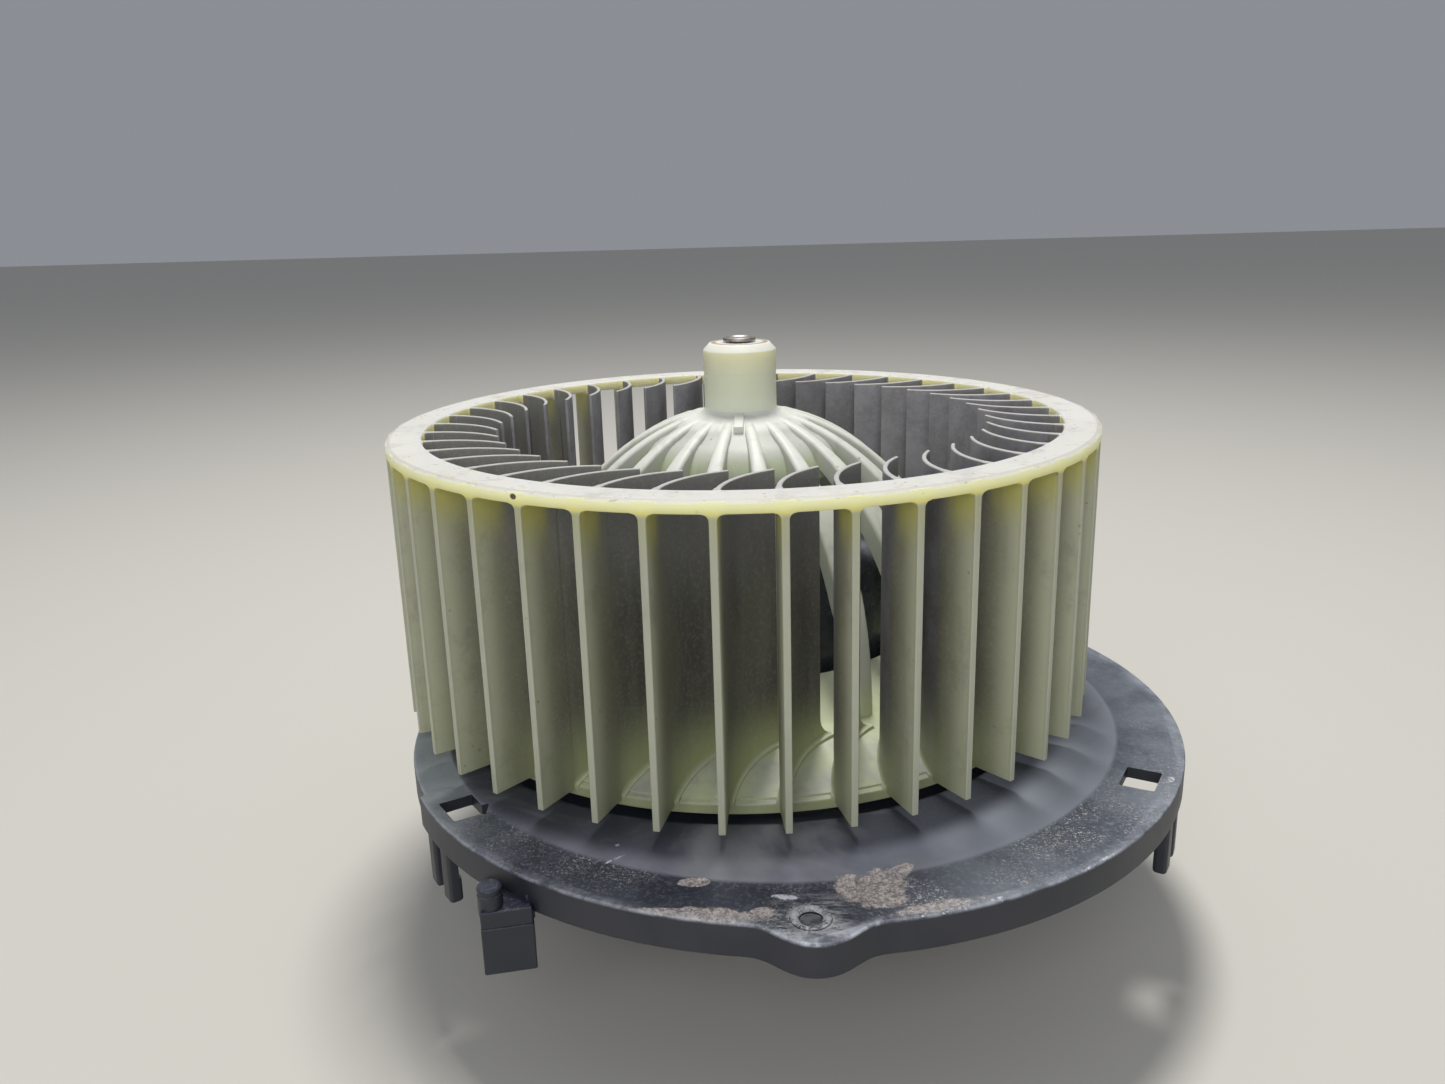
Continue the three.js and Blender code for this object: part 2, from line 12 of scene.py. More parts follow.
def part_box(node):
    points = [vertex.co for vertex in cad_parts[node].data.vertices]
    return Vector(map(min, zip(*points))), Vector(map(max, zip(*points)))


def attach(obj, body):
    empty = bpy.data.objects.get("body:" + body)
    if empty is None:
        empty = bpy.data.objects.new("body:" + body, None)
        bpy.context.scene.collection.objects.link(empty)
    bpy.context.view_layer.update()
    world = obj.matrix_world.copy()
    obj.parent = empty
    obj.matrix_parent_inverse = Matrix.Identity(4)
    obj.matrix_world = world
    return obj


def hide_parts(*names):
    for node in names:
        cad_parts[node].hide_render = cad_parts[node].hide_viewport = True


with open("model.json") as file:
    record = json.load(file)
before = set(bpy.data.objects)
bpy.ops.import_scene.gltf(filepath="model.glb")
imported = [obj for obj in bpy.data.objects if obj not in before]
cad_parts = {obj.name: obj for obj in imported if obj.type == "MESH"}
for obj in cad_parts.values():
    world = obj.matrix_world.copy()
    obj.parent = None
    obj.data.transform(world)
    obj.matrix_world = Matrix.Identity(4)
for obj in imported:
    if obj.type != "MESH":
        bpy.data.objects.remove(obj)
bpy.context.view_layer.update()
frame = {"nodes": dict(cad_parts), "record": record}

MM = 0.001
scene = bpy.context.scene


def box_mm(node):
    low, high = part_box(node)
    return low / MM, high / MM


# --------------- sizes, from the frame

wheel_low, wheel_high = box_mm("impeller")
flange_low, flange_high = box_mm("mounting_flange")
can_low, can_high = box_mm("motor_can")
cover_high = box_mm("motor_cover")[1]
cap_low, cap_high = box_mm("shaft_cap")
shaft_high = box_mm("shaft")[1]
socket_low, socket_high = box_mm("power_socket")

BORE = shaft_high.x + 0.3  # clear of the shaft

RIM = wheel_high.x  # the wheel's outer radius
BOSS_TOP = wheel_high.z
RING_TOP = BOSS_TOP - 16.1
RING_BOTTOM = RING_TOP - 2.3
RING_INNER = RIM - 7.2
WHEEL_PHASE = radians(2.9)

BLADES = 41
BLADE_BOTTOM = wheel_low.z + 1.3
BLADE_TOP = RING_TOP - 0.2
STRAIGHT = 6.9  # radial length before the curl
CURL_RADIUS = 19.5
CURL = radians(57)
OUTER_HALF = 0.62  # half thickness outside the hub's rim
INNER_HALF = 0.50  # and inside it
TIP_HALF = 0.36  # and at the inner tip

HUB_RIM = RIM - 9.35
HUB_RIM_TOP = RING_TOP - 57.9
HUB_KNEE = (49.5, RING_TOP - 51.2)
HUB_INNER = (38.0, RING_TOP - 45.0)
HUB_THICK = 2.1

DOME_CENTRE = RING_TOP - 57.5
DOME_RADIUS = 50.0
DOME_RISE = 60.0
WEB_DROP = [(12.0, 0.0), (13.0, 0.12), (14.2, 0.5), (15.4, 0.95), (16.6, 1.2), (18.6, 1.25), (19.8, 1.45),
            (20.9, 1.9), (21.8, 2.6), (22.5, 3.4), (23.0, 4.3), (23.3, 5.2)]
RIBS = 18
RIB_PHASE = radians(-2.3)
RIB_DEPTH = 3.5

BOSS_RADIUS = 7.8

FLANGE_X = 9.1  # centre of the flange's outer edge
FLANGE_RADIUS = flange_high.x - FLANGE_X - 0.05
FLANGE_Y = flange_low.y + 85.55
FLANGE_TOP = flange_high.z - 5.2
SKIRT_BOTTOM = FLANGE_TOP - 6.0
PLATE_BOTTOM = FLANGE_TOP - 2.3
SKIRT_WALL = 2.6
BACK_RADIUS = 69.8  # of the back bulge, about the spin axis
RECESS = 66.0
LOBE = (9.7, flange_low.y + 7.0)
LOBE_RADIUS = 6.95
LOBE_MOUTH = (LOBE[0] - 0.7, LOBE[1] - 0.2)  # the hole's mouth, narrowed by a burr
LOBE_HOLE = 1.9
SET_IN = 1.0  # of the edge behind the left clip, from 208 degrees
BLOCK = (-41.1, -81.2)  # the locking block's place in plan
POST = (-43.1, -83.7)  # and its post's
CREASE_CENTRE = (6.7, -15.0)
CREASE_RADIUS = 70.6

CAN_RADIUS = can_high.x
COLLAR = CAN_RADIUS + 4.0


# --------------- mesh helpers


def smoothstep(low, high, x):
    t = min(max((x - low) / (high - low), 0.0), 1.0)
    return t * t * (3 - 2 * t)


def lerp(a, b, t):
    return a + (b - a) * t


def curve_through(points, x):
    """A value read off straight lines between (x, value) points, with level ends."""
    if x <= points[0][0]:
        return points[0][1]
    for (x0, y0), (x1, y1) in zip(points, points[1:]):
        if x <= x1:
            return lerp(y0, y1, (x - x0) / (x1 - x0))
    return points[-1][1]


def fillet(distance, radius):
    """How far a concave fillet stands out at a distance from the surface that it meets."""
    if distance >= radius:
        return 0.0
    rest = radius - max(distance, 0.0)
    return radius - sqrt(radius * radius - rest * rest)


def polar(radius, angle, z):
    return (radius * cos(angle), radius * sin(angle), z)


def rounded(corners, steps=4):
    """A closed profile whose corners (r, z, radius) are turned into arcs."""
    points = []
    count = len(corners)
    for i, corner in enumerate(corners):
        here = Vector(corner[:2])
        radius = corner[2] if len(corner) > 2 else 0.0
        to_last = Vector(corners[i - 1][:2]) - here
        to_next = Vector(corners[(i + 1) % count][:2]) - here
        if radius <= 0:
            points.append(tuple(here))
            continue
        a, b = to_last.normalized(), to_next.normalized()
        half = a.angle(b) / 2
        reach = min(radius / tan(half), to_last.length * 0.49, to_next.length * 0.49)
        radius = reach * tan(half)
        middle = here + (a + b).normalized() * (radius / sin(half))
        start = here + a * reach - middle
        sweep = start.angle_signed(here + b * reach - middle)
        for k in range(steps + 1):
            turn = Matrix.Rotation(-sweep * k / steps, 2)
            points.append(tuple(middle + turn @ start))
    return points


def lathe(profile, segments, centre=(0.0, 0.0)):
    """A closed profile of (r, z) turned about an upright axis."""
    vertices, faces, rings = [], [], []
    for r, z in profile:
        if r < 1e-6:
            rings.append([len(vertices)] * segments)
            vertices.append((centre[0], centre[1], z))
            continue
        rings.append(list(range(len(vertices), len(vertices) + segments)))
        for k in range(segments):
            x, y, height = polar(r, 2 * pi * k / segments, z)
            vertices.append((x + centre[0], y + centre[1], height))
    for i in range(len(rings)):
        a, b = rings[i], rings[(i + 1) % len(rings)]
        for k in range(segments):
            n = (k + 1) % segments
            corners = list(dict.fromkeys((a[k], a[n], b[n], b[k])))
            if len(corners) > 2:
                faces.append(tuple(corners))
    return vertices, faces


def loft(rows, caps=True):
    """Closed loops of equal length joined in order. A cap is a strip across the loop's two halves."""
    count = len(rows[0])
    vertices = [point for row in rows for point in row]
    faces = []
    for i in range(len(rows) - 1):
        for k in range(count):
            n = (k + 1) % count
            faces.append((i * count + k, i * count + n, (i + 1) * count + n, (i + 1) * count + k))
    if caps:
        half = count // 2
        for base, flip in ((0, True), ((len(rows) - 1) * count, False)):
            for k in range(half - 1):
                strip = (base + k, base + k + 1, base + count - 2 - k, base + count - 1 - k)
                faces.append(strip[::-1] if flip else strip)
    return vertices, faces


def ring_of_rows(rows):
    """Loops joined in order and back to the first, as a body with a hole through it."""
    vertices, faces = loft(rows, caps=False)
    count, last = len(rows[0]), (len(rows) - 1) * len(rows[0])
    for k in range(count):
        n = (k + 1) % count
        faces.append((last + k, last + n, n, k))
    return vertices, faces


def soft_box(low, high, bevel=0.4, segments=2, turn=0.0, place=(0.0, 0.0)):
    """A box with rounded edges, turned about Z and then moved in plan."""
    mesh = bmesh.new()
    bmesh.ops.create_cube(mesh, size=1.0)
    size = Vector(high) - Vector(low)
    middle = (Vector(high) + Vector(low)) / 2
    bmesh.ops.scale(mesh, vec=size, verts=mesh.verts)
    bmesh.ops.bevel(mesh, geom=mesh.edges[:], offset=bevel, segments=segments, profile=0.5, affect="EDGES")
    bmesh.ops.translate(mesh, vec=middle, verts=mesh.verts)
    bmesh.ops.rotate(mesh, matrix=Matrix.Rotation(turn, 3, "Z"), verts=mesh.verts)
    bmesh.ops.translate(mesh, vec=(place[0], place[1], 0), verts=mesh.verts)
    mesh.verts.index_update()
    vertices = [tuple(v.co) for v in mesh.verts]
    faces = [tuple(v.index for v in face.verts) for face in mesh.faces]
    mesh.free()
    return vertices, faces


def turned_about(shape, angle, centre=(0.0, 0.0)):
    c, s = cos(angle), sin(angle)
    vertices = [(c * x - s * y + centre[0], s * x + c * y + centre[1], z) for x, y, z in shape[0]]
    return vertices, shape[1]


def rod(radius, low, high, segments, centre=(0.0, 0.0)):
    """A solid cylinder about an upright axis."""
    return lathe([(0.0, low), (radius, low), (radius, high), (0.0, high)], segments, centre)


def around(shape, count, phase=0.0):
    """Copies of a shape all round the spin axis, as one shape."""
    vertices, faces = [], []
    for k in range(count):
        start = len(vertices)
        vertices.extend(turned_about(shape, phase + 2 * pi * k / count)[0])
        faces.extend(tuple(i + start for i in face) for face in shape[1])
    return vertices, faces


def mesh_object(name, shape):
    mesh = bpy.data.meshes.new(name)
    mesh.from_pydata([(x * MM, y * MM, z * MM) for x, y, z in shape[0]], [], shape[1])
    work = bmesh.new()
    work.from_mesh(mesh)
    bmesh.ops.recalc_face_normals(work, faces=work.faces[:])
    work.to_mesh(mesh)
    work.free()
    made = bpy.data.objects.new(name, mesh)
    scene.collection.objects.link(made)
    return made


def built(name, base, joined=(), removed=()):
    """A mesh object: the base shape with others joined to it and then others cut away."""
    made = mesh_object(name, base)
    tools = []
    for shapes, operation in ((joined, "UNION"), (removed, "DIFFERENCE")):
        for shape in shapes:
            tool = mesh_object(name + "_tool", shape)
            step = made.modifiers.new("step", "BOOLEAN")
            step.object = tool
            step.operation = operation
            step.solver = "MANIFOLD"
            tools.append(tool)
    if tools:
        bpy.context.view_layer.update()
        result = bpy.data.meshes.new_from_object(
            made.evaluated_get(bpy.context.evaluated_depsgraph_get()))
        made.modifiers.clear()
        joined_up = bmesh.new()
        joined_up.from_mesh(result)
        bmesh.ops.dissolve_limit(joined_up, angle_limit=radians(0.25), use_dissolve_boundaries=False,
                                 verts=joined_up.verts[:], edges=joined_up.edges[:])
        joined_up.to_mesh(result)
        joined_up.free()
        rough = made.data
        made.data = result
        bpy.data.meshes.remove(rough)
        for tool in tools:
            left = tool.data
            bpy.data.objects.remove(tool)
            bpy.data.meshes.remove(left)
    made.data.name = name
    return made


def finished(made, body, slot, *nodes, sharp=34):
    """Smooth shading, material, body and the CAD nodes that the piece stands for."""
    made.data.materials.clear()  # a boolean leaves an empty slot
    made.data.materials.append(LOOKS[slot])
    made.data.shade_smooth()
    made.data.set_sharp_from_angle(angle=radians(sharp))
    even = made.modifiers.new("even", "WEIGHTED_NORMAL")
    even.keep_sharp = True
    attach(made, body)
    if nodes:
        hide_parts(*nodes)


# --------------- material helpers


LOOKS = {}  # every material, by the name of its slot


class Look:
    """A material being wired, with its Principled shader."""

    def __init__(self, name):
        self.material = bpy.data.materials.new(name)
        LOOKS[name] = self.material
        self.material.use_nodes = True
        self.tree = self.material.node_tree
        self.shader = self.tree.nodes["Principled BSDF"]
        self.place = self.add("ShaderNodeTexCoord").outputs["Object"]

    def add(self, kind, **settings):
        node = self.tree.nodes.new(kind)
        for key, value in settings.items():
            setattr(node, key, value)
        return node

    def feed(self, socket, value):
        if isinstance(value, bpy.types.NodeSocket):
            self.tree.links.new(value, socket)
        else:
            socket.default_value = value

    def math(self, operation, *values, clamp=False):
        node = self.add("ShaderNodeMath", operation=operation, use_clamp=clamp)
        for socket, value in zip(node.inputs, values):
            self.feed(socket, value)
        return node.outputs[0]

    def times(self, *values):
        product = values[0]
        for value in values[1:]:
            product = self.math("MULTIPLY", product, value)
        return product

    def plus(self, a, b):
        return self.math("ADD", a, b)

    def minus(self, a, b):
        return self.math("SUBTRACT", a, b)

    def most(self, a, b):
        return self.math("MAXIMUM", a, b)

    def length(self, a, b):
        """The length of a vector from its two parts."""
        return self.math("SQRT", self.plus(self.times(a, a), self.times(b, b)))

    def parts(self, vector=None):
        node = self.add("ShaderNodeSeparateXYZ")
        self.feed(node.inputs[0], self.place if vector is None else vector)
        return node.outputs

    def band(self, value, low, high, start=0.0, end=1.0):
        """A smooth ramp from start at low to end at high."""
        node = self.add("ShaderNodeMapRange", interpolation_type="SMOOTHSTEP")
        for socket, number in zip(node.inputs, (value, low, high, start, end)):
            self.feed(socket, number)
        return node.outputs[0]

    def zone(self, value, low, high, start=0.0, end=1.0):
        """A smooth ramp over a length, with its ends in millimetres."""
        return self.band(value, low * MM, high * MM, start, end)

    def distance(self, x=0.0, y=0.0):
        """The distance in plan from a point given in millimetres."""
        across, along, _ = self.parts()
        return self.length(self.minus(across, x * MM), self.minus(along, y * MM))

    def spot(self, centre, half):
        """1 inside an ellipsoid, given in millimetres, and 0 outside it."""
        total = 0.0
        for axis, middle, reach in zip(self.parts(), centre, half):
            away = self.math("DIVIDE", self.minus(axis, middle * MM), reach * MM)
            total = self.plus(self.times(away, away), total)
        return self.band(total, 1.3, 0.7)

    def streaks(self, ellipses, outer=1.4, inner=0.6):
        """1 inside any of several ellipses in plan: x, y, length, width (mm) and direction (degrees)."""
        most = 0.0
        across, along, _ = self.parts()
        for x, y, length, width, slant in ellipses:
            c, s, _ = polar(1.0, radians(slant), 0.0)
            dx = self.minus(across, x * MM)
            dy = self.minus(along, y * MM)
            half_length, half_width = length * MM / 2, width * MM / 2
            u = self.plus(self.times(dx, c / half_length), self.times(dy, s / half_length))
            v = self.minus(self.times(dy, c / half_width), self.times(dx, s / half_width))
            inside = self.band(self.plus(self.times(u, u), self.times(v, v)), outer, inner)
            most = self.most(inside, most)
        return most

    def texture(self, kind, output="Fac", stretch=None, settings=(), **inputs):
        node = self.add(kind, **dict(settings))
        place = self.place
        if stretch is not None:
            mapping = self.add("ShaderNodeMapping")
            self.feed(mapping.inputs["Vector"], place)
            mapping.inputs["Scale"].default_value = stretch
            place = mapping.outputs[0]
        self.feed(node.inputs["Vector"], place)
        for name, value in inputs.items():
            node.inputs[name].default_value = value
        return node.outputs[output]

    def noise(self, scale, detail=4.0, roughness=0.55, stretch=None, distortion=0.0):
        return self.texture("ShaderNodeTexNoise", stretch=stretch, Scale=scale, Detail=detail,
                            Roughness=roughness, Distortion=distortion)

    def cells(self, scale, output="Distance"):
        return self.texture("ShaderNodeTexVoronoi", output, Scale=scale)

    def level_bands(self, scale, distortion=0.0, profile="SIN"):
        """Level bands, one over another."""
        settings = {"wave_type": "BANDS", "bands_direction": "Z", "wave_profile": profile}
        return self.texture("ShaderNodeTexWave", settings=settings, Scale=scale, Distortion=distortion)

    def mix(self, fac, a, b):
        node = self.add("ShaderNodeMix", data_type="RGBA")
        for socket, value in zip((node.inputs[0], node.inputs[6], node.inputs[7]), (fac, a, b)):
            self.feed(socket, (*value, 1.0) if isinstance(value, tuple) else value)
        return node.outputs[2]

    def layers(self, color, *coats):
        """A colour under coats laid on in turn, each a mask and a colour."""
        for mask, coat in coats:
            color = self.mix(mask, color, coat)
        return color

    def upward(self):
        """1 where the surface faces up and 0 where it stands or faces down."""
        return self.parts(self.add("ShaderNodeNewGeometry").outputs["Normal"])[2]

    def outward(self):
        """The cosine between the surface's normal and the way out from the upright axis."""
        normal = self.parts(self.add("ShaderNodeTexCoord").outputs["Normal"])
        x, y, _ = self.parts()
        along = self.plus(self.times(normal[0], x), self.times(normal[1], y))
        return self.math("DIVIDE", along, self.distance())

    def attribute(self, name):
        return self.add("ShaderNodeAttribute", attribute_name=name).outputs["Fac"]

    def bump(self, height, strength, distance):
        node = self.add("ShaderNodeBump")
        self.feed(node.inputs["Height"], height)
        node.inputs["Strength"].default_value = strength
        node.inputs["Distance"].default_value = distance
        if self.shader.inputs["Normal"].is_linked:
            self.feed(node.inputs["Normal"], self.shader.inputs["Normal"].links[0].from_socket)
        self.feed(self.shader.inputs["Normal"], node.outputs[0])

    def set(self, **values):
        for name, value in values.items():
            socket = self.shader.inputs[name.replace("_", " ")]
            rgb = isinstance(value, tuple) and socket.type == "RGBA"
            self.feed(socket, (*value, 1.0) if rgb else value)


# --------------- materials


def wheel_plastic():
    """Natural moulded plastic, aged yellowish and grey with dust further in; painted glow of light through
    the plastic makes it yellow-green under the ring and near the hub, and painted light lightens it near
    the rim and below the inlet.
    """
    look = Look("wheel_plastic")
    times, band, zone, mix, noise = look.times, look.band, look.zone, look.mix, look.noise
    z = look.parts()[2]
    radius = look.distance()
    up = look.upward()
    cloud = noise(60, 5, 0.6)

    ring = times(zone(z, RING_BOTTOM - 0.9, RING_BOTTOM + 0.1),
                 zone(radius, RING_INNER - 0.4, RING_INNER - 0.1))
    near_ring = zone(z, RING_BOTTOM - 10, RING_BOTTOM - 0.3)
    near_hub = zone(z, 62, 47)
    inside = zone(radius, 52.0, 50.6)
    boss = times(zone(radius, BOSS_RADIUS + 0.9, BOSS_RADIUS + 0.2), zone(z, 103.2, 104.2))

    aged = mix(cloud, (0.27, 0.27, 0.18), (0.40, 0.405, 0.285))
    # lighter towards the rim: painted light that reaches further onto the blades' outer parts
    aged_and_rim_light = mix(zone(radius, 69, 74.8), aged, (0.50, 0.51, 0.375))
    smear = noise(150, 4, 0.6, stretch=(1, 1, 0.25))
    dust = times(zone(radius, 74.0, 62), band(smear, 0.3, 0.7, 0.75, 1.0))
    # painted light: lighter grey on the blades' inner parts below the ring, where light comes in at the
    # inlet
    lit = times(zone(z, RING_BOTTOM - 24, RING_BOTTOM - 3, 0.0, 0.6), zone(radius, 70.5, 66))
    turned_in = band(look.outward(), -0.02, -0.25)
    film = mix(band(noise(70, 6, 0.7), 0.36, 0.64), (0.225, 0.218, 0.235), (0.345, 0.340, 0.385))
    blotches = times(band(noise(110, 6, 0.75), 0.50, 0.70), 0.30)
    flecks = times(band(noise(1300, 5, 0.85), 0.48, 0.66), 0.22)
    # yellow on the blades just under the ring, further out: painted glow of light through the plastic
    painted_ring_glow = times(near_ring, zone(radius, 66.5, 70))
    # yellow-green on the blades near the hub, stronger further in: painted glow of light passing down
    # through the plastic
    glow = times(near_hub, zone(radius, 72, 62, 0.15, 0.8))
    tip = zone(radius, RIM - 0.9, RIM - 0.2)
    crest = zone(z, BLADE_TOP - 0.16, BLADE_TOP - 0.02)
    hub_top = times(band(up, 0.5, 0.9), zone(z, 53, 51))
    hub = mix(band(noise(75, 5, 0.65), 0.40, 0.68), (0.57, 0.61, 0.42), (0.44, 0.45, 0.41))
    blades = look.layers(
        aged_and_rim_light,
        (dust, (0.095, 0.094, 0.078)),
        (lit, (0.27, 0.27, 0.27)),
        (turned_in, film),
        (blotches, (0.150, 0.142, 0.125)),
        (flecks, (0.50, 0.49, 0.44)),
        (painted_ring_glow, (0.50, 0.48, 0.15)),
        (glow, (0.43, 0.47, 0.25)),
        (times(tip, 0.7), (0.40, 0.41, 0.33)),
        (times(crest, band(up, 0.3, 0.8)), (0.52, 0.51, 0.50)),
        (hub_top, hub),
    )

    across = look.math("DIVIDE", radius, DOME_RADIUS * MM)
    rise = look.math("DIVIDE", look.minus(z, DOME_CENTRE * MM), DOME_RISE * MM)
    level = look.length(across, rise)
    web = times(band(level, 0.977, 0.955), zone(radius, 26, 23))
    lowered = times(band(level, 0.994, 0.984), zone(radius, 12, 15))
    dome = look.layers(
        mix(cloud, (0.68, 0.69, 0.62), (0.76, 0.76, 0.71)),
        (times(lowered, 0.9), (0.52, 0.53, 0.47)),
        (times(web, 0.9), (0.50, 0.55, 0.36)),
        (times(zone(z, 98, 84), 0.5), (0.66, 0.70, 0.53)),
        # yellow-green low on the dome and the hub cone: painted glow of light passing down through the
        # wheel
        (times(near_hub, 0.8), (0.56, 0.62, 0.34)),
    )
    rust_line = times(zone(radius, 4.6, 5.5), zone(radius, 6.3, 5.95))
    barrel = look.layers(
        mix(zone(z, 110.0, 116.0), (0.80, 0.82, 0.63), (0.86, 0.84, 0.60)),
        (zone(z, 109, 104, 0.0, 0.6), (0.86, 0.90, 0.75)),
        (times(band(cloud, 0.45, 0.75), 0.2), (0.66, 0.66, 0.50)),
        (band(up, 0.3, 0.6), (0.80, 0.79, 0.72)),
        # a painted highlight: a small white dot on the barrel's left side
        (look.spot((-7.4, -2.5, 111.2), (0.6, 0.6, 0.4)), (0.93, 0.92, 0.86)),
        (times(rust_line, zone(z, 117.5, 117.9)), (0.40, 0.31, 0.23)),
    )
    color = mix(inside, blades, mix(boss, dome, barrel))

    side = look.layers(
        (0.78, 0.72, 0.24),
        (zone(z, RING_BOTTOM - 0.3, RING_TOP - 0.9), (0.87, 0.86, 0.54)),
        (zone(radius, RIM - 1.2, RING_INNER + 0.6), (0.80, 0.77, 0.55)),
    )
    grime = band(noise(140, 6, 0.7), 0.50, 0.70)
    scrapes = band(noise(210, 6, 0.78, stretch=(1, 3.5, 1)), 0.60, 0.67)
    pocks = times(band(look.cells(560), 0.22, 0.12), band(noise(150, 3), 0.48, 0.60))
    edge_line = times(zone(radius, RIM - 1.15, RIM - 0.85), zone(radius, RIM - 0.2, RIM - 0.5))
    top = look.layers(
        (0.69, 0.68, 0.64),
        (times(grime, 0.5), (0.42, 0.39, 0.35)),
        (times(scrapes, 0.7), (0.34, 0.30, 0.26)),
        (pocks, (0.42, 0.36, 0.29)),
        (times(edge_line, 0.55), (0.48, 0.45, 0.40)),
    )
    ring_color = mix(band(up, 0.3, 0.85), side, top)
    chip = look.spot((-38.0, -64.6, RING_TOP - 1.05), (0.65, 0.65, 0.5))
    color = mix(ring, color, mix(chip, ring_color, (0.10, 0.075, 0.05)))

    specks = times(band(look.cells(420), 0.16, 0.08), band(noise(90, 2), 0.56, 0.66))
    soil = times(band(noise(40, 3, 0.6, stretch=(9, 9, 0.7)), 0.5, 0.75), 0.25)
    bare = look.minus(1.0, look.most(ring, boss))
    color = look.layers(
        color,
        (times(specks, 0.6), (0.17, 0.14, 0.11)),
        (times(soil, bare), (0.25, 0.24, 0.21)),
    )

    look.bump(noise(900, 3, 0.6), 0.25, 0.00006)
    look.bump(cloud, 0.2, 0.0004)
    thick = look.most(ring, times(boss, 0.8))
    look.set(Base_Color=color, Roughness=band(cloud, 0.2, 0.8, 0.42, 0.58), IOR=1.49,
             Subsurface_Weight=band(thick, 0.0, 1.0, 0.3, 0.75),
             Subsurface_Scale=band(thick, 0.0, 1.0, 0.002, 0.005))
    look.shader.inputs["Subsurface Radius"].default_value = (1.0, 0.92, 0.45)


# scuffs on the flange's top: x, y, length, width and direction
SCRATCHES = (
    (-23.1, -77.9, 3.8, 0.55, 33),
    (-22.8, -73.5, 0.9, 0.7, 0),
    (57.2, -81.1, 9.0, 0.7, 38),
    (78.9, -53.2, 2.2, 1.2, 60),
    (38.6, -91.0, 2.6, 0.9, 18),
    (5.2, -89.4, 4.6, 1.5, -8),
    (8.6, -92.3, 4.0, 1.0, 8),
)

# where sand lies on it, in the same terms
SAND = (
    (16.6, -88.0, 7.0, 8.0, 20),
    (20.8, -86.4, 8.0, 7.5, 60),
    (24.6, -82.6, 5.0, 2.6, 40),
    (20.5, -91.2, 8.0, 4.0, 10),
    (29.5, -92.6, 15.0, 3.0, 14),
    (-5.6, -94.4, 15.0, 4.2, -6),
    (-14.0, -93.2, 13.0, 2.4, -6),
    (-9.5, -84.8, 5.0, 2.2, 0),
    (1.6, -93.6, 4.0, 2.6, 0),
)


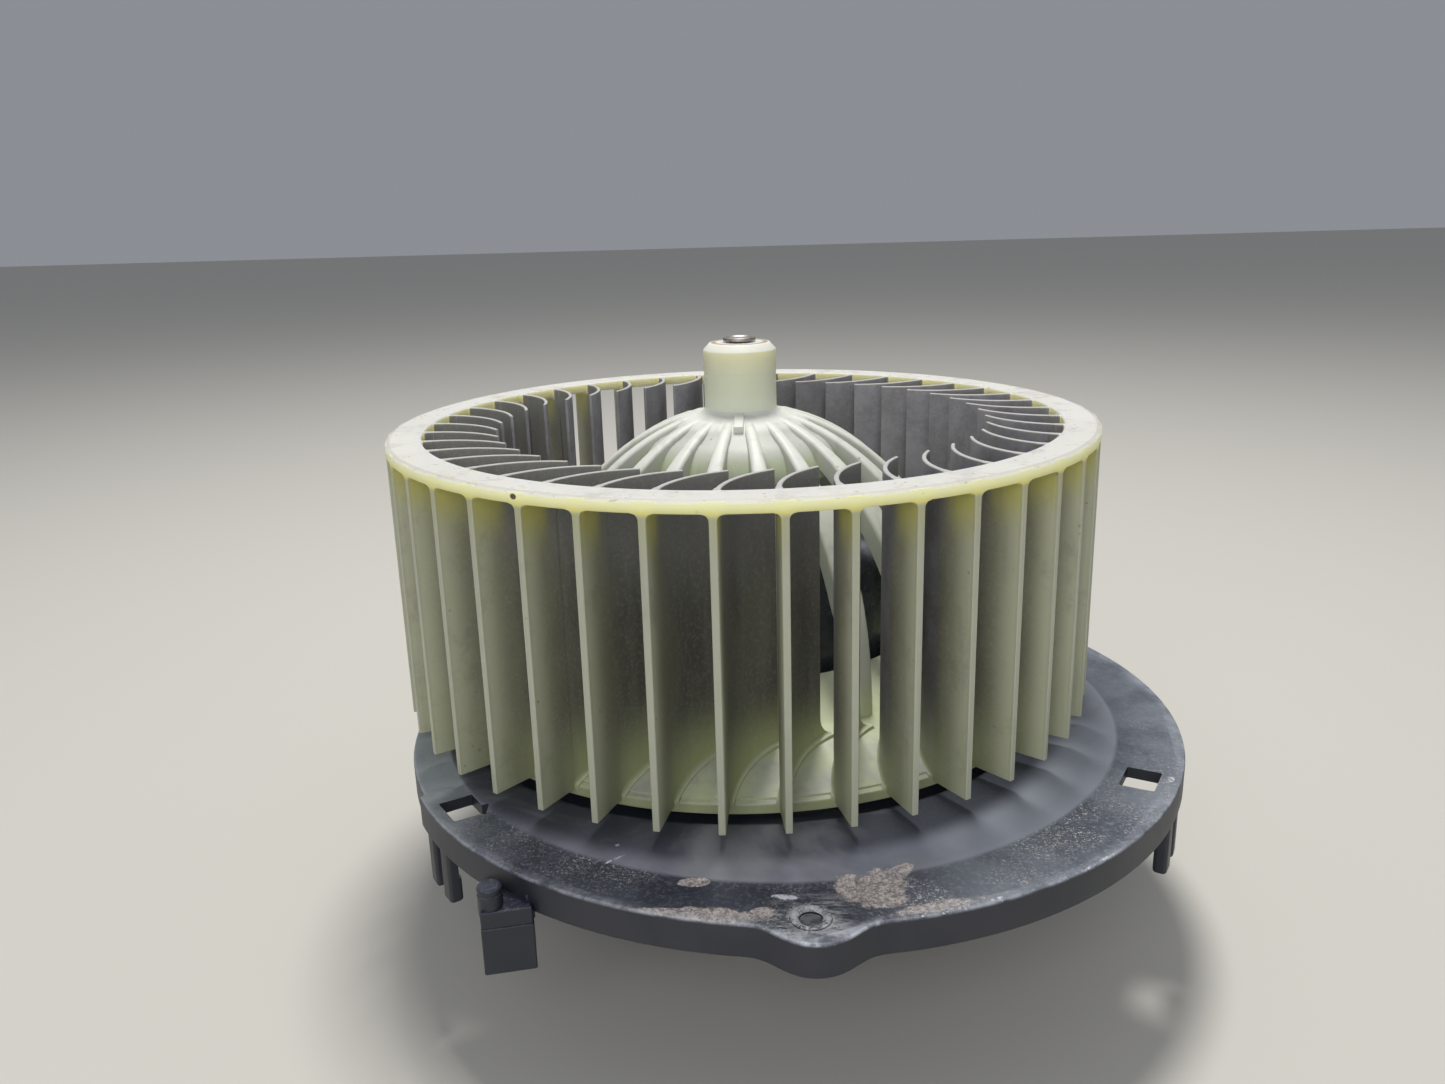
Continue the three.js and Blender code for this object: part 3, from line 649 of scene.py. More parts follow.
def flange_plastic():
    """Charcoal moulded plastic: dusty on top, gritty round the edge, sandy beside the screw lobe."""
    look = Look("flange_plastic")
    times, band, zone, mix, noise = look.times, look.band, look.zone, look.mix, look.noise
    x, y, z = look.parts()
    up = band(look.upward(), 0.35, 0.85)
    on_top = zone(z, FLANGE_TOP - 1.0, FLANGE_TOP - 0.5)
    plate = times(on_top, zone(z, FLANGE_TOP + 1.2, FLANGE_TOP + 0.6))
    cloud = noise(45, 6, 0.62)
    fine = noise(650, 6, 0.8)

    outer_band = zone(look.distance(*CREASE_CENTRE), CREASE_RADIUS - 0.5, CREASE_RADIUS + 0.5)
    # painted shadow of the wheel: a darker plate inside a circle shifted to the front
    painted_wheel_shadow = zone(look.distance(-0.2, -14.5), 68, 62.5)
    smudge = noise(26, 4, 0.6, stretch=(1, 1.6, 1), distortion=1.2)
    brown = look.layers(
        mix(band(cloud, 0.35, 0.65), (0.142, 0.150, 0.196), (0.212, 0.210, 0.252)),
        # painted light: the inner zone lighter towards the right
        (zone(x, 15, 55, 0.0, 0.8), (0.36, 0.39, 0.45)),
        (painted_wheel_shadow, (0.056, 0.062, 0.086)),
        (band(smudge, 0.50, 0.68, 0.0, 0.5), (0.24, 0.25, 0.27)),
    )
    # painted shadow of the ring on the outer band: darkest at the front, where this mask is 0
    away_from_ring_shadow = zone(look.distance(-12, -96), 24, 62)
    slate_low = mix(away_from_ring_shadow, (0.018, 0.022, 0.042), (0.080, 0.094, 0.122))
    slate_high = mix(away_from_ring_shadow, (0.044, 0.051, 0.078), (0.180, 0.202, 0.240))
    slate = mix(band(cloud, 0.38, 0.62), slate_low, slate_high)
    # lighter on the left: dust, and painted light from the upper left
    left_dust_and_light = times(zone(x, -42, -62), band(smudge, 0.38, 0.60, 0.35, 0.9))
    slate = mix(left_dust_and_light, slate, (0.40, 0.44, 0.46))
    side = mix(band(cloud, 0.35, 0.65), (0.015, 0.018, 0.026), (0.029, 0.030, 0.040))
    color = mix(up, side, mix(outer_band, brown, slate))

    front = zone(y, -15, -55, 0.4, 1.0)
    dusty = times(band(noise(1100, 5, 0.85), 0.50, 0.62), up, front,
                  band(outer_band, 0.0, 1.0, 0.08, 0.55), band(away_from_ring_shadow, 0.0, 1.0, 0.45, 1.0))
    color = mix(dusty, color, (0.30, 0.31, 0.34))
    gritty = times(band(noise(60, 5, 0.65), 0.42, 0.62), front, up, band(outer_band, 0.0, 1.0, 0.03, 1.0),
                   zone(look.distance(45, -82), 48, 12, 0.5, 1.35))
    gritty = look.math("MULTIPLY", gritty, plate, clamp=True)
    coarse = band(look.cells(1900), 0.30, 0.18)
    small = band(noise(2100, 2, 0.6), 0.575, 0.65)
    grit = times(look.most(times(coarse, 0.55), small), gritty, zone(look.distance(*POST), 3, 4.5))
    color = mix(grit, color, mix(noise(800, 1), (0.36, 0.32, 0.28), (0.78, 0.78, 0.80)))

    spread = look.streaks(SAND, outer=2.4, inner=0.0)
    broken = look.plus(times(noise(190, 3, 0.6), 0.55), times(noise(900, 5, 0.85), 0.45))
    sand = times(band(look.plus(times(spread, 0.34), broken), 0.66, 0.76), up,
                 band(spread, 0.0, 0.5, 0.0, 0.92), plate, band(noise(620, 5, 0.85), 0.38, 0.54, 0.5, 1.0))
    grains = look.plus(times(look.cells(2400, "Color"), 0.45), times(noise(1100, 4, 0.8), 0.55))
    pale_grains = times(band(look.cells(1500), 0.22, 0.12), band(noise(500, 2), 0.5, 0.6))
    sand_color = look.layers(
        (0.26, 0.22, 0.205),
        (band(grains, 0.32, 0.66), (0.60, 0.54, 0.52)),
        (pale_grains, (0.70, 0.66, 0.60)),
    )

    from_hole = look.distance(*LOBE_MOUTH)
    scuffs = times(zone(from_hole, 9.0, 4.5), up, 0.55,
                   band(noise(330, 6, 0.75, stretch=(0.6, 1.8, 1)), 0.46, 0.62))
    rim_wear = times(zone(from_hole, 1.8, 2.2), zone(from_hole, 4.3, 3.2), up, 0.95,
                     band(noise(500, 5, 0.75), 0.42, 0.56))
    swirl = times(band(noise(420, 5, 0.7, distortion=1.8), 0.47, 0.60), zone(from_hole, 5.6, 3.2), up, 0.8)
    # dirt in the hole's mouth, darkened as painted shade in the hole
    hole_dirt_and_shade = mix(band(fine, 0.4, 0.6), (0.022, 0.024, 0.030), (0.13, 0.13, 0.14))
    worn = times(look.attribute("edge"), band(noise(220, 5, 0.7), 0.38, 0.62, 0.15, 1.0),
                 zone(from_hole, 15, 8, 0.5, 1.0))
    marks = times(look.streaks(SCRATCHES), up, band(fine, 0.46, 0.56), on_top)
    color = look.layers(
        color,
        (sand, sand_color),
        (look.most(look.most(scuffs, rim_wear), swirl), (0.46, 0.47, 0.49)),
        (times(zone(from_hole, 1.9, 1.6), up), hole_dirt_and_shade),
        (worn, (0.50, 0.52, 0.58)),
        (marks, (0.62, 0.64, 0.70)),
    )

    look.bump(noise(1500, 3, 0.7), 0.30, 0.00008)
    look.bump(look.plus(grit, sand), 0.5, 0.0002)
    look.bump(cloud, 0.15, 0.0008)
    rough = look.plus(band(cloud, 0.3, 0.7, 0.40, 0.56), times(sand, 0.3))
    look.set(Base_Color=color, Roughness=rough, IOR=1.48)


def can_paint():
    """Gloss black paint under a film of dust, thicker where it faces up."""
    look = Look("can_paint")
    up = look.band(look.upward(), 0.2, 0.9)
    cloud = look.noise(80, 5, 0.6)
    film = look.times(look.band(cloud, 0.30, 0.70), look.band(up, 0.0, 1.0, 0.35, 0.85))
    color = look.mix(film, (0.030, 0.033, 0.047), (0.19, 0.20, 0.24))
    look.bump(look.noise(240, 3), 0.08, 0.0002)
    look.set(Base_Color=color, Roughness=look.band(film, 0.0, 0.5, 0.22, 0.44),
             Coat_Weight=0.4, Coat_Roughness=0.12)


def metal(name, dark, light, roughness, scale=300.0, brushed=None, rust=0.0):
    """Bare metal: tone and roughness drift over it, with tool marks and some rust."""
    look = Look(name)
    cloud = look.noise(scale, 5, 0.6)
    color = look.mix(cloud, dark, light)
    rough = look.band(cloud, 0.2, 0.8, roughness - 0.07, roughness + 0.10)
    metallic = 1.0
    look.bump(look.noise(scale * 3, 3, 0.6, stretch=brushed), 0.2, 0.00004)
    if rust > 0:
        rusty = look.band(look.noise(scale * 1.3, 6, 0.7), 0.62 - 0.3 * rust, 0.72 - 0.2 * rust)
        rusty = look.times(rusty, min(1.0, 2.5 * rust))
        color = look.mix(rusty, color, (0.17, 0.085, 0.045))
        look.bump(rusty, 0.3, 0.00005)
        rough = look.plus(rough, look.times(rusty, 0.35))
        metallic = look.minus(1.0, look.times(rusty, 0.85))
    look.set(Base_Color=color, Roughness=rough, Metallic=metallic)


def dull(name, dark, light, roughness, grain=0.00006):
    """Plastic, rubber, carbon or ferrite: a mottled tone with a fine grain."""
    look = Look(name)
    cloud = look.noise(200.0, 5, 0.6)
    look.bump(look.noise(1800.0, 3, 0.65), 0.35, grain)
    look.set(Base_Color=look.mix(cloud, dark, light),
             Roughness=look.band(cloud, 0.25, 0.75, roughness - 0.06, roughness + 0.08))


def wound_wire(name):
    """Enamelled copper wire laid in turns that follow the upright axis."""
    look = Look(name)
    turns = look.level_bands(620, distortion=1.5)
    look.bump(turns, 0.8, 0.00025)
    look.set(Base_Color=look.mix(turns, (0.20, 0.065, 0.025), (0.66, 0.30, 0.14)),
             Roughness=look.band(turns, 0.0, 1.0, 0.42, 0.26), Metallic=0.85)


def laminated(name):
    """Stacked sheet steel, with a line for each sheet."""
    look = Look(name)
    sheets = look.level_bands(320, profile="SAW")
    color = look.mix(look.noise(150, 4), (0.16, 0.155, 0.15), (0.30, 0.29, 0.28))
    color = look.mix(look.band(sheets, 0.85, 0.98), color, (0.05, 0.045, 0.04))
    look.bump(sheets, 0.5, 0.00008)
    look.set(Base_Color=color, Roughness=0.48, Metallic=0.8)


wheel_plastic()
flange_plastic()
can_paint()
dull("card_plastic", (0.014, 0.014, 0.015), (0.035, 0.034, 0.034), 0.5)
dull("rubber_black", (0.012, 0.012, 0.012), (0.030, 0.029, 0.028), 0.8)
dull("ferrite", (0.045, 0.045, 0.05), (0.085, 0.083, 0.085), 0.62, grain=0.0001)
dull("brush_carbon", (0.02, 0.018, 0.018), (0.07, 0.05, 0.045), 0.45)
metal("shaft_steel", (0.45, 0.45, 0.44), (0.62, 0.61, 0.60), 0.26, brushed=(1, 1, 30))
metal("plated_steel", (0.50, 0.49, 0.45), (0.66, 0.65, 0.60), 0.34, rust=0.1)
metal("rusty_cap", (0.24, 0.22, 0.20), (0.46, 0.44, 0.42), 0.44, 700, rust=0.35)
metal("spring_steel", (0.34, 0.34, 0.35), (0.52, 0.52, 0.53), 0.3)
metal("bronze", (0.30, 0.19, 0.10), (0.48, 0.33, 0.18), 0.46, 500)
metal("brass_strip", (0.56, 0.42, 0.18), (0.74, 0.60, 0.32), 0.3)
metal("copper_bars", (0.55, 0.27, 0.15), (0.78, 0.45, 0.29), 0.3, brushed=(1, 1, 25))
wound_wire("copper_wire")
laminated("lamination_steel")


# --------------- fan wheel


def hub_height(radius):
    """The hub cone's upper surface."""
    return curve_through([HUB_INNER, HUB_KNEE, (HUB_RIM, HUB_RIM_TOP)], radius)


def blade_line(s):
    """The point and side direction at a distance s in from the rim, along the blade's plan."""
    if s < STRAIGHT:
        return (RIM - 0.05 - s, 0.0), (0.0, 1.0)
    a = (s - STRAIGHT) / CURL_RADIUS
    start = RIM - 0.05 - STRAIGHT
    point = (start - CURL_RADIUS * sin(a), CURL_RADIUS * (1 - cos(a)))
    return point, (sin(a), cos(a))


def blade():
    length = STRAIGHT + CURL_RADIUS * CURL
    chamfer = 0.14
    columns = [0.0, chamfer, 2.3, 4.4, 6.0, 7.4, 8.4, 9.15, 9.35, 11.2, 13.2, 15.2, 17.2, 19.2,
               21.2, 23.0, 24.8, length - chamfer, length]
    foot = [0.05, 0.2, 0.45, 0.75, 1.1, 1.6, 2.4, 3.4, 4.4]
    tall = [0.2, 0.45, 0.7, 0.9]
    head = [1.8, 1.35, 0.95, 0.6, 0.35, 0.15, 0.0]

    def heights(radius):
        """Row heights on the blade at one radius, from its bottom edge to its top edge."""
        over_hub = radius < HUB_RIM
        surface = hub_height(radius) if over_hub else HUB_RIM_TOP
        bottom = surface - 0.9 if over_hub else BLADE_BOTTOM
        upper = RING_BOTTOM - head[0]
        rows = [(bottom, 0.0)] + [(surface + d, d) for d in foot]
        rows += [(lerp(surface + foot[-1], upper, t), 99.0) for t in tall]
        rows += [(RING_BOTTOM - d, 99.0) for d in head]
        rows += [(BLADE_TOP - chamfer, 99.0), (BLADE_TOP, 99.0)]
        return rows

    count = 1 + len(foot) + len(tall) + len(head) + 2
    rows = []
    for row in range(count):
        front, back = [], []
        for i, s in enumerate(columns):
            plain, _ = blade_line(s)
            radius = hypot(*plain)
            z, above_hub = heights(radius)[row]
            stretch = 3.6 * smoothstep(19, length, s)
            flare = stretch * fillet(above_hub, 4.0) / 4.0
            (px, py), (nx, ny) = blade_line(s + flare)
            if flare > 0:
                z = heights(hypot(px, py))[row][0]
            half = OUTER_HALF if s < 9.25 else lerp(INNER_HALF, TIP_HALF, (s - 9.25) / 17)
            half += 0.05 * smoothstep(60, 98, z) if s < 9.25 else 0.0
            if s > 9.25:
                half += fillet(above_hub, 1.1)
            under_ring = smoothstep(RING_INNER - 0.5, RING_INNER + 0.7, radius)
            half += under_ring * fillet(RING_BOTTOM - z, 1.25)
            if i in (0, len(columns) - 1):
                half -= chamfer
            if row == count - 1:
                half -= chamfer
            front.append((px + nx * half, py + ny * half, z))
            back.append((px - nx * half, py - ny * half, z))
        rows.append(front + back[::-1])
    return loft(rows)


def top_ring():
    profile = rounded([
        (RING_INNER, RING_BOTTOM, 0.3), (RIM, RING_BOTTOM, 0.25), (RIM, RING_TOP - 0.55, 0.12),
        (RIM - 0.45, RING_TOP - 0.12, 0.12), (RIM - 1.0, RING_TOP, 0.2), (RING_INNER, RING_TOP, 0.35),
    ])
    return lathe(profile, BLADES * 6)


def hub_cone():
    inner_r, inner_z = HUB_INNER
    knee_r, knee_z = HUB_KNEE
    step = HUB_RIM - 1.2
    profile = rounded([
        (inner_r, inner_z - HUB_THICK, 0.3), (knee_r, knee_z - HUB_THICK, 1.0),
        (HUB_RIM - 1.3, HUB_RIM_TOP - 2.1, 0.2), (HUB_RIM, HUB_RIM_TOP - 2.1, 0.25),
        (HUB_RIM, HUB_RIM_TOP - 0.15, 0.35), (step + 0.15, HUB_RIM_TOP + 0.15, 0.05),
        (step, hub_height(step), 0.1), (knee_r, knee_z, 2.0), (inner_r + 1.0, inner_z - 0.45, 0.3),
        (inner_r, inner_z - 0.9, 0.2),
    ])
    return lathe(profile, BLADES * 6)


def dome_height(radius):
    return DOME_CENTRE + DOME_RISE * sqrt(max(0.0, 1 - (radius / DOME_RADIUS) ** 2))


def cap_webs():
    """The cap between the ribs: level with their backs round the boss, lower further out."""
    top = [(r, dome_height(r) - 0.12) for r in (5.0, 7.5, 9.0, 10.5)]
    top += [(r, dome_height(r) - 0.12 - drop) for r, drop in WEB_DROP]
    under = [(r, dome_height(r) - drop) for r, drop in (
        (23.25, 5.9), (22.9, 6.2), (22.4, 6.0), (21.5, 5.2), (20.5, 4.5), (19, 3.9), (16, 3.5),
        (12, 3.3), (5, 3.2))]
    return lathe((top + under)[::-1], RIBS * 12)


def rib_half_width(z):
    return curve_through([(50, 1.5), (56, 1.75), (65, 2.3), (73, 2.75), (81, 2.7), (86, 2.55),
                          (96, 1.6), (102, 1.15), (104, 1.0)], z)


def rib():
    """One rib: a rounded strip that follows the dome and comes down on the hub cone."""
    start = acos(8.6 / DOME_RADIUS)
    end = asin((HUB_KNEE[1] - DOME_CENTRE) / DOME_RISE)
    steps = 26
    rows = []
    for k in range(steps + 1):
        u = lerp(start, end, (k / steps) ** 0.85)
        r, z = DOME_RADIUS * cos(u), DOME_CENTRE + DOME_RISE * sin(u)
        out = Vector((r / DOME_RADIUS ** 2, (z - DOME_CENTRE) / DOME_RISE ** 2)).normalized()
        half = rib_half_width(z)
        soft = min(0.75, 0.55 * half)
        sunk = 0.45 * smoothstep(12.5, 9.0, r)
        section = [(-half - 0.22, -RIB_DEPTH), (-half - 0.05, -1.3), (-half, -soft),
                   (-half + 0.13 * soft, -0.5 * soft), (-half + 0.5 * soft, -0.13 * soft),
                   (-half + soft, 0.0), (-0.3 * half, 0.07)]
        section += [(-across, up) for across, up in section[::-1]]
        row = []
        for across, up in section:
            rr = r + out.x * (up - sunk)
            zz = z + out.y * (up - sunk)
            if k == steps:
                zz = hub_height(rr) - 0.5 * HUB_THICK
            row.append((rr, across, zz))
        rows.append(row)
    return loft(rows)


def boss_body():
    base = dome_height(BOSS_RADIUS) - 0.1
    profile = rounded([
        (BORE, 88.0), (BOSS_RADIUS - 1.5, 88.0, 0.4), (BOSS_RADIUS - 0.1, base - 2.5),
        (BOSS_RADIUS + 0.9, base - 0.25), (BOSS_RADIUS - 0.02, base + 0.55, 0.7),
        (BOSS_RADIUS - 0.06, 111.8, 0.05), (BOSS_RADIUS, 112.0, 0.05), (BOSS_RADIUS, BOSS_TOP - 1.5, 0.3),
        (BOSS_RADIUS - 1.35, BOSS_TOP - 0.05, 0.25), (BOSS_RADIUS - 2.2, BOSS_TOP, 0.2), (BORE, BOSS_TOP),
    ])
    return lathe(profile, 96)


def short_rib():
    base = dome_height(11)
    tab = soft_box((8.0, -1.05, base - 3.0), (14.7, 1.05, base + 0.95), 0.3)
    lean = -0.27
    vertices = [(x, y, z + (x - 9) * lean) for x, y, z in tab[0]]
    return vertices, tab[1]


def build_wheel():
    made = built("fan_wheel", hub_cone(), joined=[
        around(blade(), BLADES, WHEEL_PHASE),
        top_ring(),
        cap_webs(),
        around(rib(), RIBS, RIB_PHASE),
        boss_body(),
        turned_about(short_rib(), RIB_PHASE - pi / 2),
    ])
    finished(made, "rotor", "wheel_plastic", "impeller")


def build_shaft_cap():
    r, bottom, top = cap_high.x, cap_low.z, cap_high.z
    profile = rounded([
        (0.0, bottom), (r - 0.05, bottom, 0.1), (r - 0.05, top - 0.15, 0.25), (r - 0.75, top, 0.2),
        (r - 1.25, top - 0.32, 0.2), (0.8, top - 0.42, 0.2), (0.0, top - 0.30),
    ])
    made = built("shaft_end_cap", lathe(profile, 64))
    finished(made, "rotor", "rusty_cap", "shaft_cap")


# --------------- mounting flange


def circle_reach(centre, radius, angle):
    """The distance from the flange's centre to a circle, in one direction."""
    dx, dy = centre[0] - FLANGE_X, centre[1] - FLANGE_Y
    along = dx * cos(angle) + dy * sin(angle)
    return along + sqrt(max(0.0, along * along - dx * dx - dy * dy + radius * radius))


def blended(a, b, reach):
    """The smaller of two distances, with the corner between them rounded."""
    near = max(reach - abs(a - b), 0.0) / reach
    return min(a, b) - near * near * reach / 4


def outside(x, y):
    """The distance in plan from the flange's outline, less than 0 inside it."""
    angle = degrees(atan2(y - FLANGE_Y, x - FLANGE_X)) % 360
    set_in = SET_IN * smoothstep(208.0, 207.3, angle) if 120 < angle < 270 else 0.0
    main = hypot(x - FLANGE_X, y - FLANGE_Y) - FLANGE_RADIUS + set_in
    back = hypot(x, y) - BACK_RADIUS
    lobe = hypot(x - LOBE[0], y - LOBE[1]) - LOBE_RADIUS
    return blended(blended(main, back, 1.5), lobe, 4.5)


def solved_edge(angle):
    near, far = FLANGE_RADIUS - 8, FLANGE_RADIUS + 8
    for _ in range(24):
        middle = (near + far) / 2
        x, y, _ = polar(middle, angle, 0)
        if outside(x + FLANGE_X, y + FLANGE_Y) < 0:
            near = middle
        else:
            far = middle
    return near


EDGE_STEPS = 1440
EDGE = [solved_edge(2 * pi * k / EDGE_STEPS) for k in range(EDGE_STEPS)]


def flange_edge(angle):
    """The outline's distance from the flange's centre."""
    place = (angle % (2 * pi)) * EDGE_STEPS / (2 * pi)
    k = int(place)
    return lerp(EDGE[k % EDGE_STEPS], EDGE[(k + 1) % EDGE_STEPS], place - k)


def flange_plate():
    """The plate and skirt, as rows that follow the outline."""
    count = 720
    recess = RECESS + 1.2
    rows = []

    def row(place):
        points = []
        for k in range(count):
            angle = 2 * pi * k / count
            edge = flange_edge(angle)
            inner = circle_reach((0.0, 0.0), recess, angle)
            crease = max(circle_reach(CREASE_CENTRE, CREASE_RADIUS, angle), inner + 1.2)
            radius, z = place(edge, min(crease, edge - 1.4), inner)
            x, y, _ = polar(radius, angle, z)
            points.append((x + FLANGE_X, y + FLANGE_Y, z))
        rows.append(points)

    top = FLANGE_TOP
    for inset, z in ((0.2, SKIRT_BOTTOM), (0.0, SKIRT_BOTTOM + 0.2), (0.0, top - 0.6),
                     (0.10, top - 0.27), (0.32, top - 0.07), (0.6, top)):
        row(lambda e, c, i, inset=inset, z=z: (e - inset, z))
    for t, drop in ((0.12, 0.0), (0.45, 0.10), (0.8, 0.16), (0.95, 0.12)):
        row(lambda e, c, i, t=t, drop=drop: (lerp(e - 0.6, c, t), top - drop))
    for t, rise in ((0.0, 0.05), (0.08, 0.24), (0.2, 0.30), (0.6, 0.2), (1.0, 0.02)):
        row(lambda e, c, i, t=t, rise=rise: (lerp(c, i, t), top + rise))
    row(lambda e, c, i: (i, PLATE_BOTTOM + 0.3))
    row(lambda e, c, i: (i + 0.3, PLATE_BOTTOM))
    for more, z in ((0.5, PLATE_BOTTOM), (0.0, PLATE_BOTTOM - 0.5), (0.0, SKIRT_BOTTOM + 0.2),
                    (-0.2, SKIRT_BOTTOM)):
        row(lambda e, c, i, more=more, z=z: (e - SKIRT_WALL - more, z))
    return ring_of_rows(rows)


def motor_seat():
    """The recess wall, its floor and the motor collar, all about the spin axis."""
    floor_top = FLANGE_TOP - 3.2
    floor_bottom = SKIRT_BOTTOM
    collar_bottom = cover_high.z + 0.3
    collar_top = flange_high.z
    profile = rounded([
        (COLLAR, collar_bottom, 0.3), (COLLAR + 3, collar_bottom, 0.5), (COLLAR + 3, floor_bottom, 1.2),
        (RECESS + 2.5, floor_bottom, 0.4), (RECESS + 2.5, FLANGE_TOP - 0.5, 0.2),
        (RECESS + 1.4, FLANGE_TOP - 0.12, 0.1), (RECESS, FLANGE_TOP - 0.3, 0.5), (RECESS, floor_top, 1.0),
        (COLLAR + 3, floor_top, 1.5), (COLLAR + 2.6, collar_top, 0.6), (COLLAR, collar_top, 0.5),
    ])
    return lathe(profile, 192)


def on_flange(shape, angle):
    return turned_about(shape, radians(angle), (FLANGE_X, FLANGE_Y))


LEG_ANGLES = (-144.5, -149.5, -30.8, -26.0)
SLOTS = ((-145.8, 75.0), (-29.2, 73.7))  # angle and distance from the flange's centre


def prong():
    """A catch leg: a rounded tongue that hangs inside the skirt."""
    return soft_box((77.65, -1.85, SKIRT_BOTTOM - 10.75), (80.25, 1.85, PLATE_BOTTOM + 0.4), 0.7, 3)


def lock_block():
    """The block in two steps, a web that joins it to the skirt, and its grooved post."""
    turn = radians(12)
    upper = soft_box((-4.3, -4.4, 33.3), (4.2, 6.0, 36.5), 0.3, 3, turn, BLOCK)
    lower = soft_box((-4.35, -4.6, 24.85), (4.35, 6.0, 33.5), 0.3, 3, turn, BLOCK)
    web = soft_box((3.2, -2.4, 33.0), (4.6, 6.5, 37.6), 0.25, 2, turn, BLOCK)
    post = lathe(rounded([
        (0.0, 35.0), (2.1, 35.0), (2.1, 38.7, 0.05), (1.85, 38.85, 0.05), (1.85, 39.2, 0.05),
        (2.1, 39.35, 0.05), (2.1, 39.95, 0.3), (1.6, 40.4, 0.2), (0.0, 40.4)]), 48, POST)
    return [upper, lower, web, post]


EAR_ANGLES = (30, 150, 270)
EAR_REACH = 45.2


def ear_bodies(radius, bottom, top, soft=0.3):
    profile = rounded([(0.0, bottom), (radius, bottom, soft), (radius, top, soft), (0.0, top)])
    ear = lathe(profile, 40, (EAR_REACH, 0.0))
    return [turned_about(ear, radians(a)) for a in EAR_ANGLES]


def lobe_ring():
    base = FLANGE_TOP - 0.4
    return lathe(rounded([(1.5, base), (3.5, base), (3.2, FLANGE_TOP + 0.24, 0.3),
                          (2.5, FLANGE_TOP + 0.26, 0.3), (LOBE_HOLE, FLANGE_TOP - 0.1, 0.2)]), 64,
                 LOBE_MOUTH)


def mark_edges(made):
    """Gives the top outer edge of the flange its wear, as an attribute for the material."""
    values = made.data.attributes.new("edge", "FLOAT", "POINT")
    for i, vertex in enumerate(made.data.vertices):
        x, y, z = (c / MM for c in vertex.co)
        reach = hypot(x - FLANGE_X, y - FLANGE_Y)
        inset = flange_edge(atan2(y - FLANGE_Y, x - FLANGE_X)) - reach
        near = smoothstep(0.7, 0.15, abs(inset - 0.2)) * smoothstep(FLANGE_TOP - 0.6, FLANGE_TOP - 0.2, z)
        values.data[i].value = near


def build_flange():
    slots = [on_flange(soft_box((reach - 3.2, -4.0, FLANGE_TOP - 12), (reach + 3.2, 4.0, FLANGE_TOP + 2),
                                0.35), angle) for angle, reach in SLOTS]
    notch = soft_box((-1.2, -1.6, FLANGE_TOP - 6), (1.2, 1.6, FLANGE_TOP + 2), 0.2, place=(-49.4, -59.6))
    screw_boss = lathe(rounded([(0.0, SKIRT_BOTTOM), (4.6, SKIRT_BOTTOM, 0.3),
                                (4.6, FLANGE_TOP - 1), (0.0, FLANGE_TOP - 1)]), 64, LOBE)
    dirt_bed = FLANGE_TOP - 0.45
    under_bed = rod(2.6, SKIRT_BOTTOM - 5, dirt_bed - 1.2, 48, LOBE)
    mouth = rod(LOBE_HOLE, dirt_bed, FLANGE_TOP + 5, 48, LOBE_MOUTH)
    ear_bottom = cover_high.z + 0.3
    made = built("mounting_flange_body", flange_plate(), joined=[
        motor_seat(),
        screw_boss,
        lobe_ring(),
        *[on_flange(prong(), angle) for angle in LEG_ANGLES],
        *lock_block(),
        *ear_bodies(4.0, ear_bottom, ear_bottom + 8),
    ], removed=[
        *slots,
        notch,
        under_bed,
        mouth,
        *ear_bodies(1.9, ear_bottom - 1, ear_bottom + 7, 0.0),
        rod(COLLAR, 10.0, 50.0, 192),
    ])
    mark_edges(made)
    finished(made, "housing", "flange_plastic", "mounting_flange")


# --------------- motor


def build_can():
    top = can_high.z - 5.3
    under = top - 1.8
    inner = CAN_RADIUS - 1.8
    profile = rounded([
        (CAN_RADIUS, can_low.z, 0.3), (CAN_RADIUS, top, 5.0), (16.0, top, 0.8), (15.2, top + 0.6, 0.6),
        (9.6, top + 0.6, 1.2), (8.9, can_high.z, 1.2), (4.2, can_high.z, 0.4), (4.2, can_high.z - 1.6, 0.1),
        (7.4, can_high.z - 1.6, 0.5), (7.4, under, 0.5), (inner, under, 3.2), (inner, can_low.z, 0.3),
    ], steps=8)
    made = built("motor_can_shell", lathe(profile, 160))
    finished(made, "housing", "can_paint", "motor_can")


def build_cover():
    outer = COLLAR + 3.0
    inner = outer - 2.7
    top = cover_high.z
    floor = 2.5
    profile = rounded([
        (0.0, 0.0), (outer - 2.4, 0.0, 0.3), (outer, 2.2, 1.6), (outer, top - 0.9, 0.1),
        (outer + 0.35, top - 0.75, 0.1), (outer + 0.35, top, 0.2), (inner, top, 0.3), (inner, floor, 1.0),
        (0.0, floor),
    ])
    raised_rim = lathe(rounded([(3.1, 0.1), (4.3, 0.1, 0.2), (4.3, floor + 0.5, 0.2),
                                (3.1, floor + 0.5, 0.2)]), 40, (26.0, 0.0))
    vent = rod(3.2, -1.0, 4.0, 40, (26.0, 0.0))
    phase = radians(30)
    stiffeners = [turned_about(soft_box((outer - 0.6, -0.6, 3.0), (outer + 0.55, 0.6, top - 1.2),
                                        0.25), radians(a)) for a in range(0, 360, 20)
                  if all(abs((a - e + 180) % 360 - 180) > 12 for e in (*EAR_ANGLES, 90))]
    neck = soft_box((-10.3, inner - 8, 2.2), (10.3, outer + 8, 7.8), 0.2)
    made = built("motor_cover_shell", lathe(profile, 160), joined=[
        around(raised_rim, 6, phase),
        *ear_bodies(4.0, 5.7, top),
        *stiffeners,
    ], removed=[
        rod(inner - 0.05, floor + 0.6, 20.0, 96),
        around(vent, 6, phase),
        neck,
        *ear_bodies(1.9, 4.0, top + 1, 0.0),
    ])
    finished(made, "housing", "flange_plastic", "motor_cover")


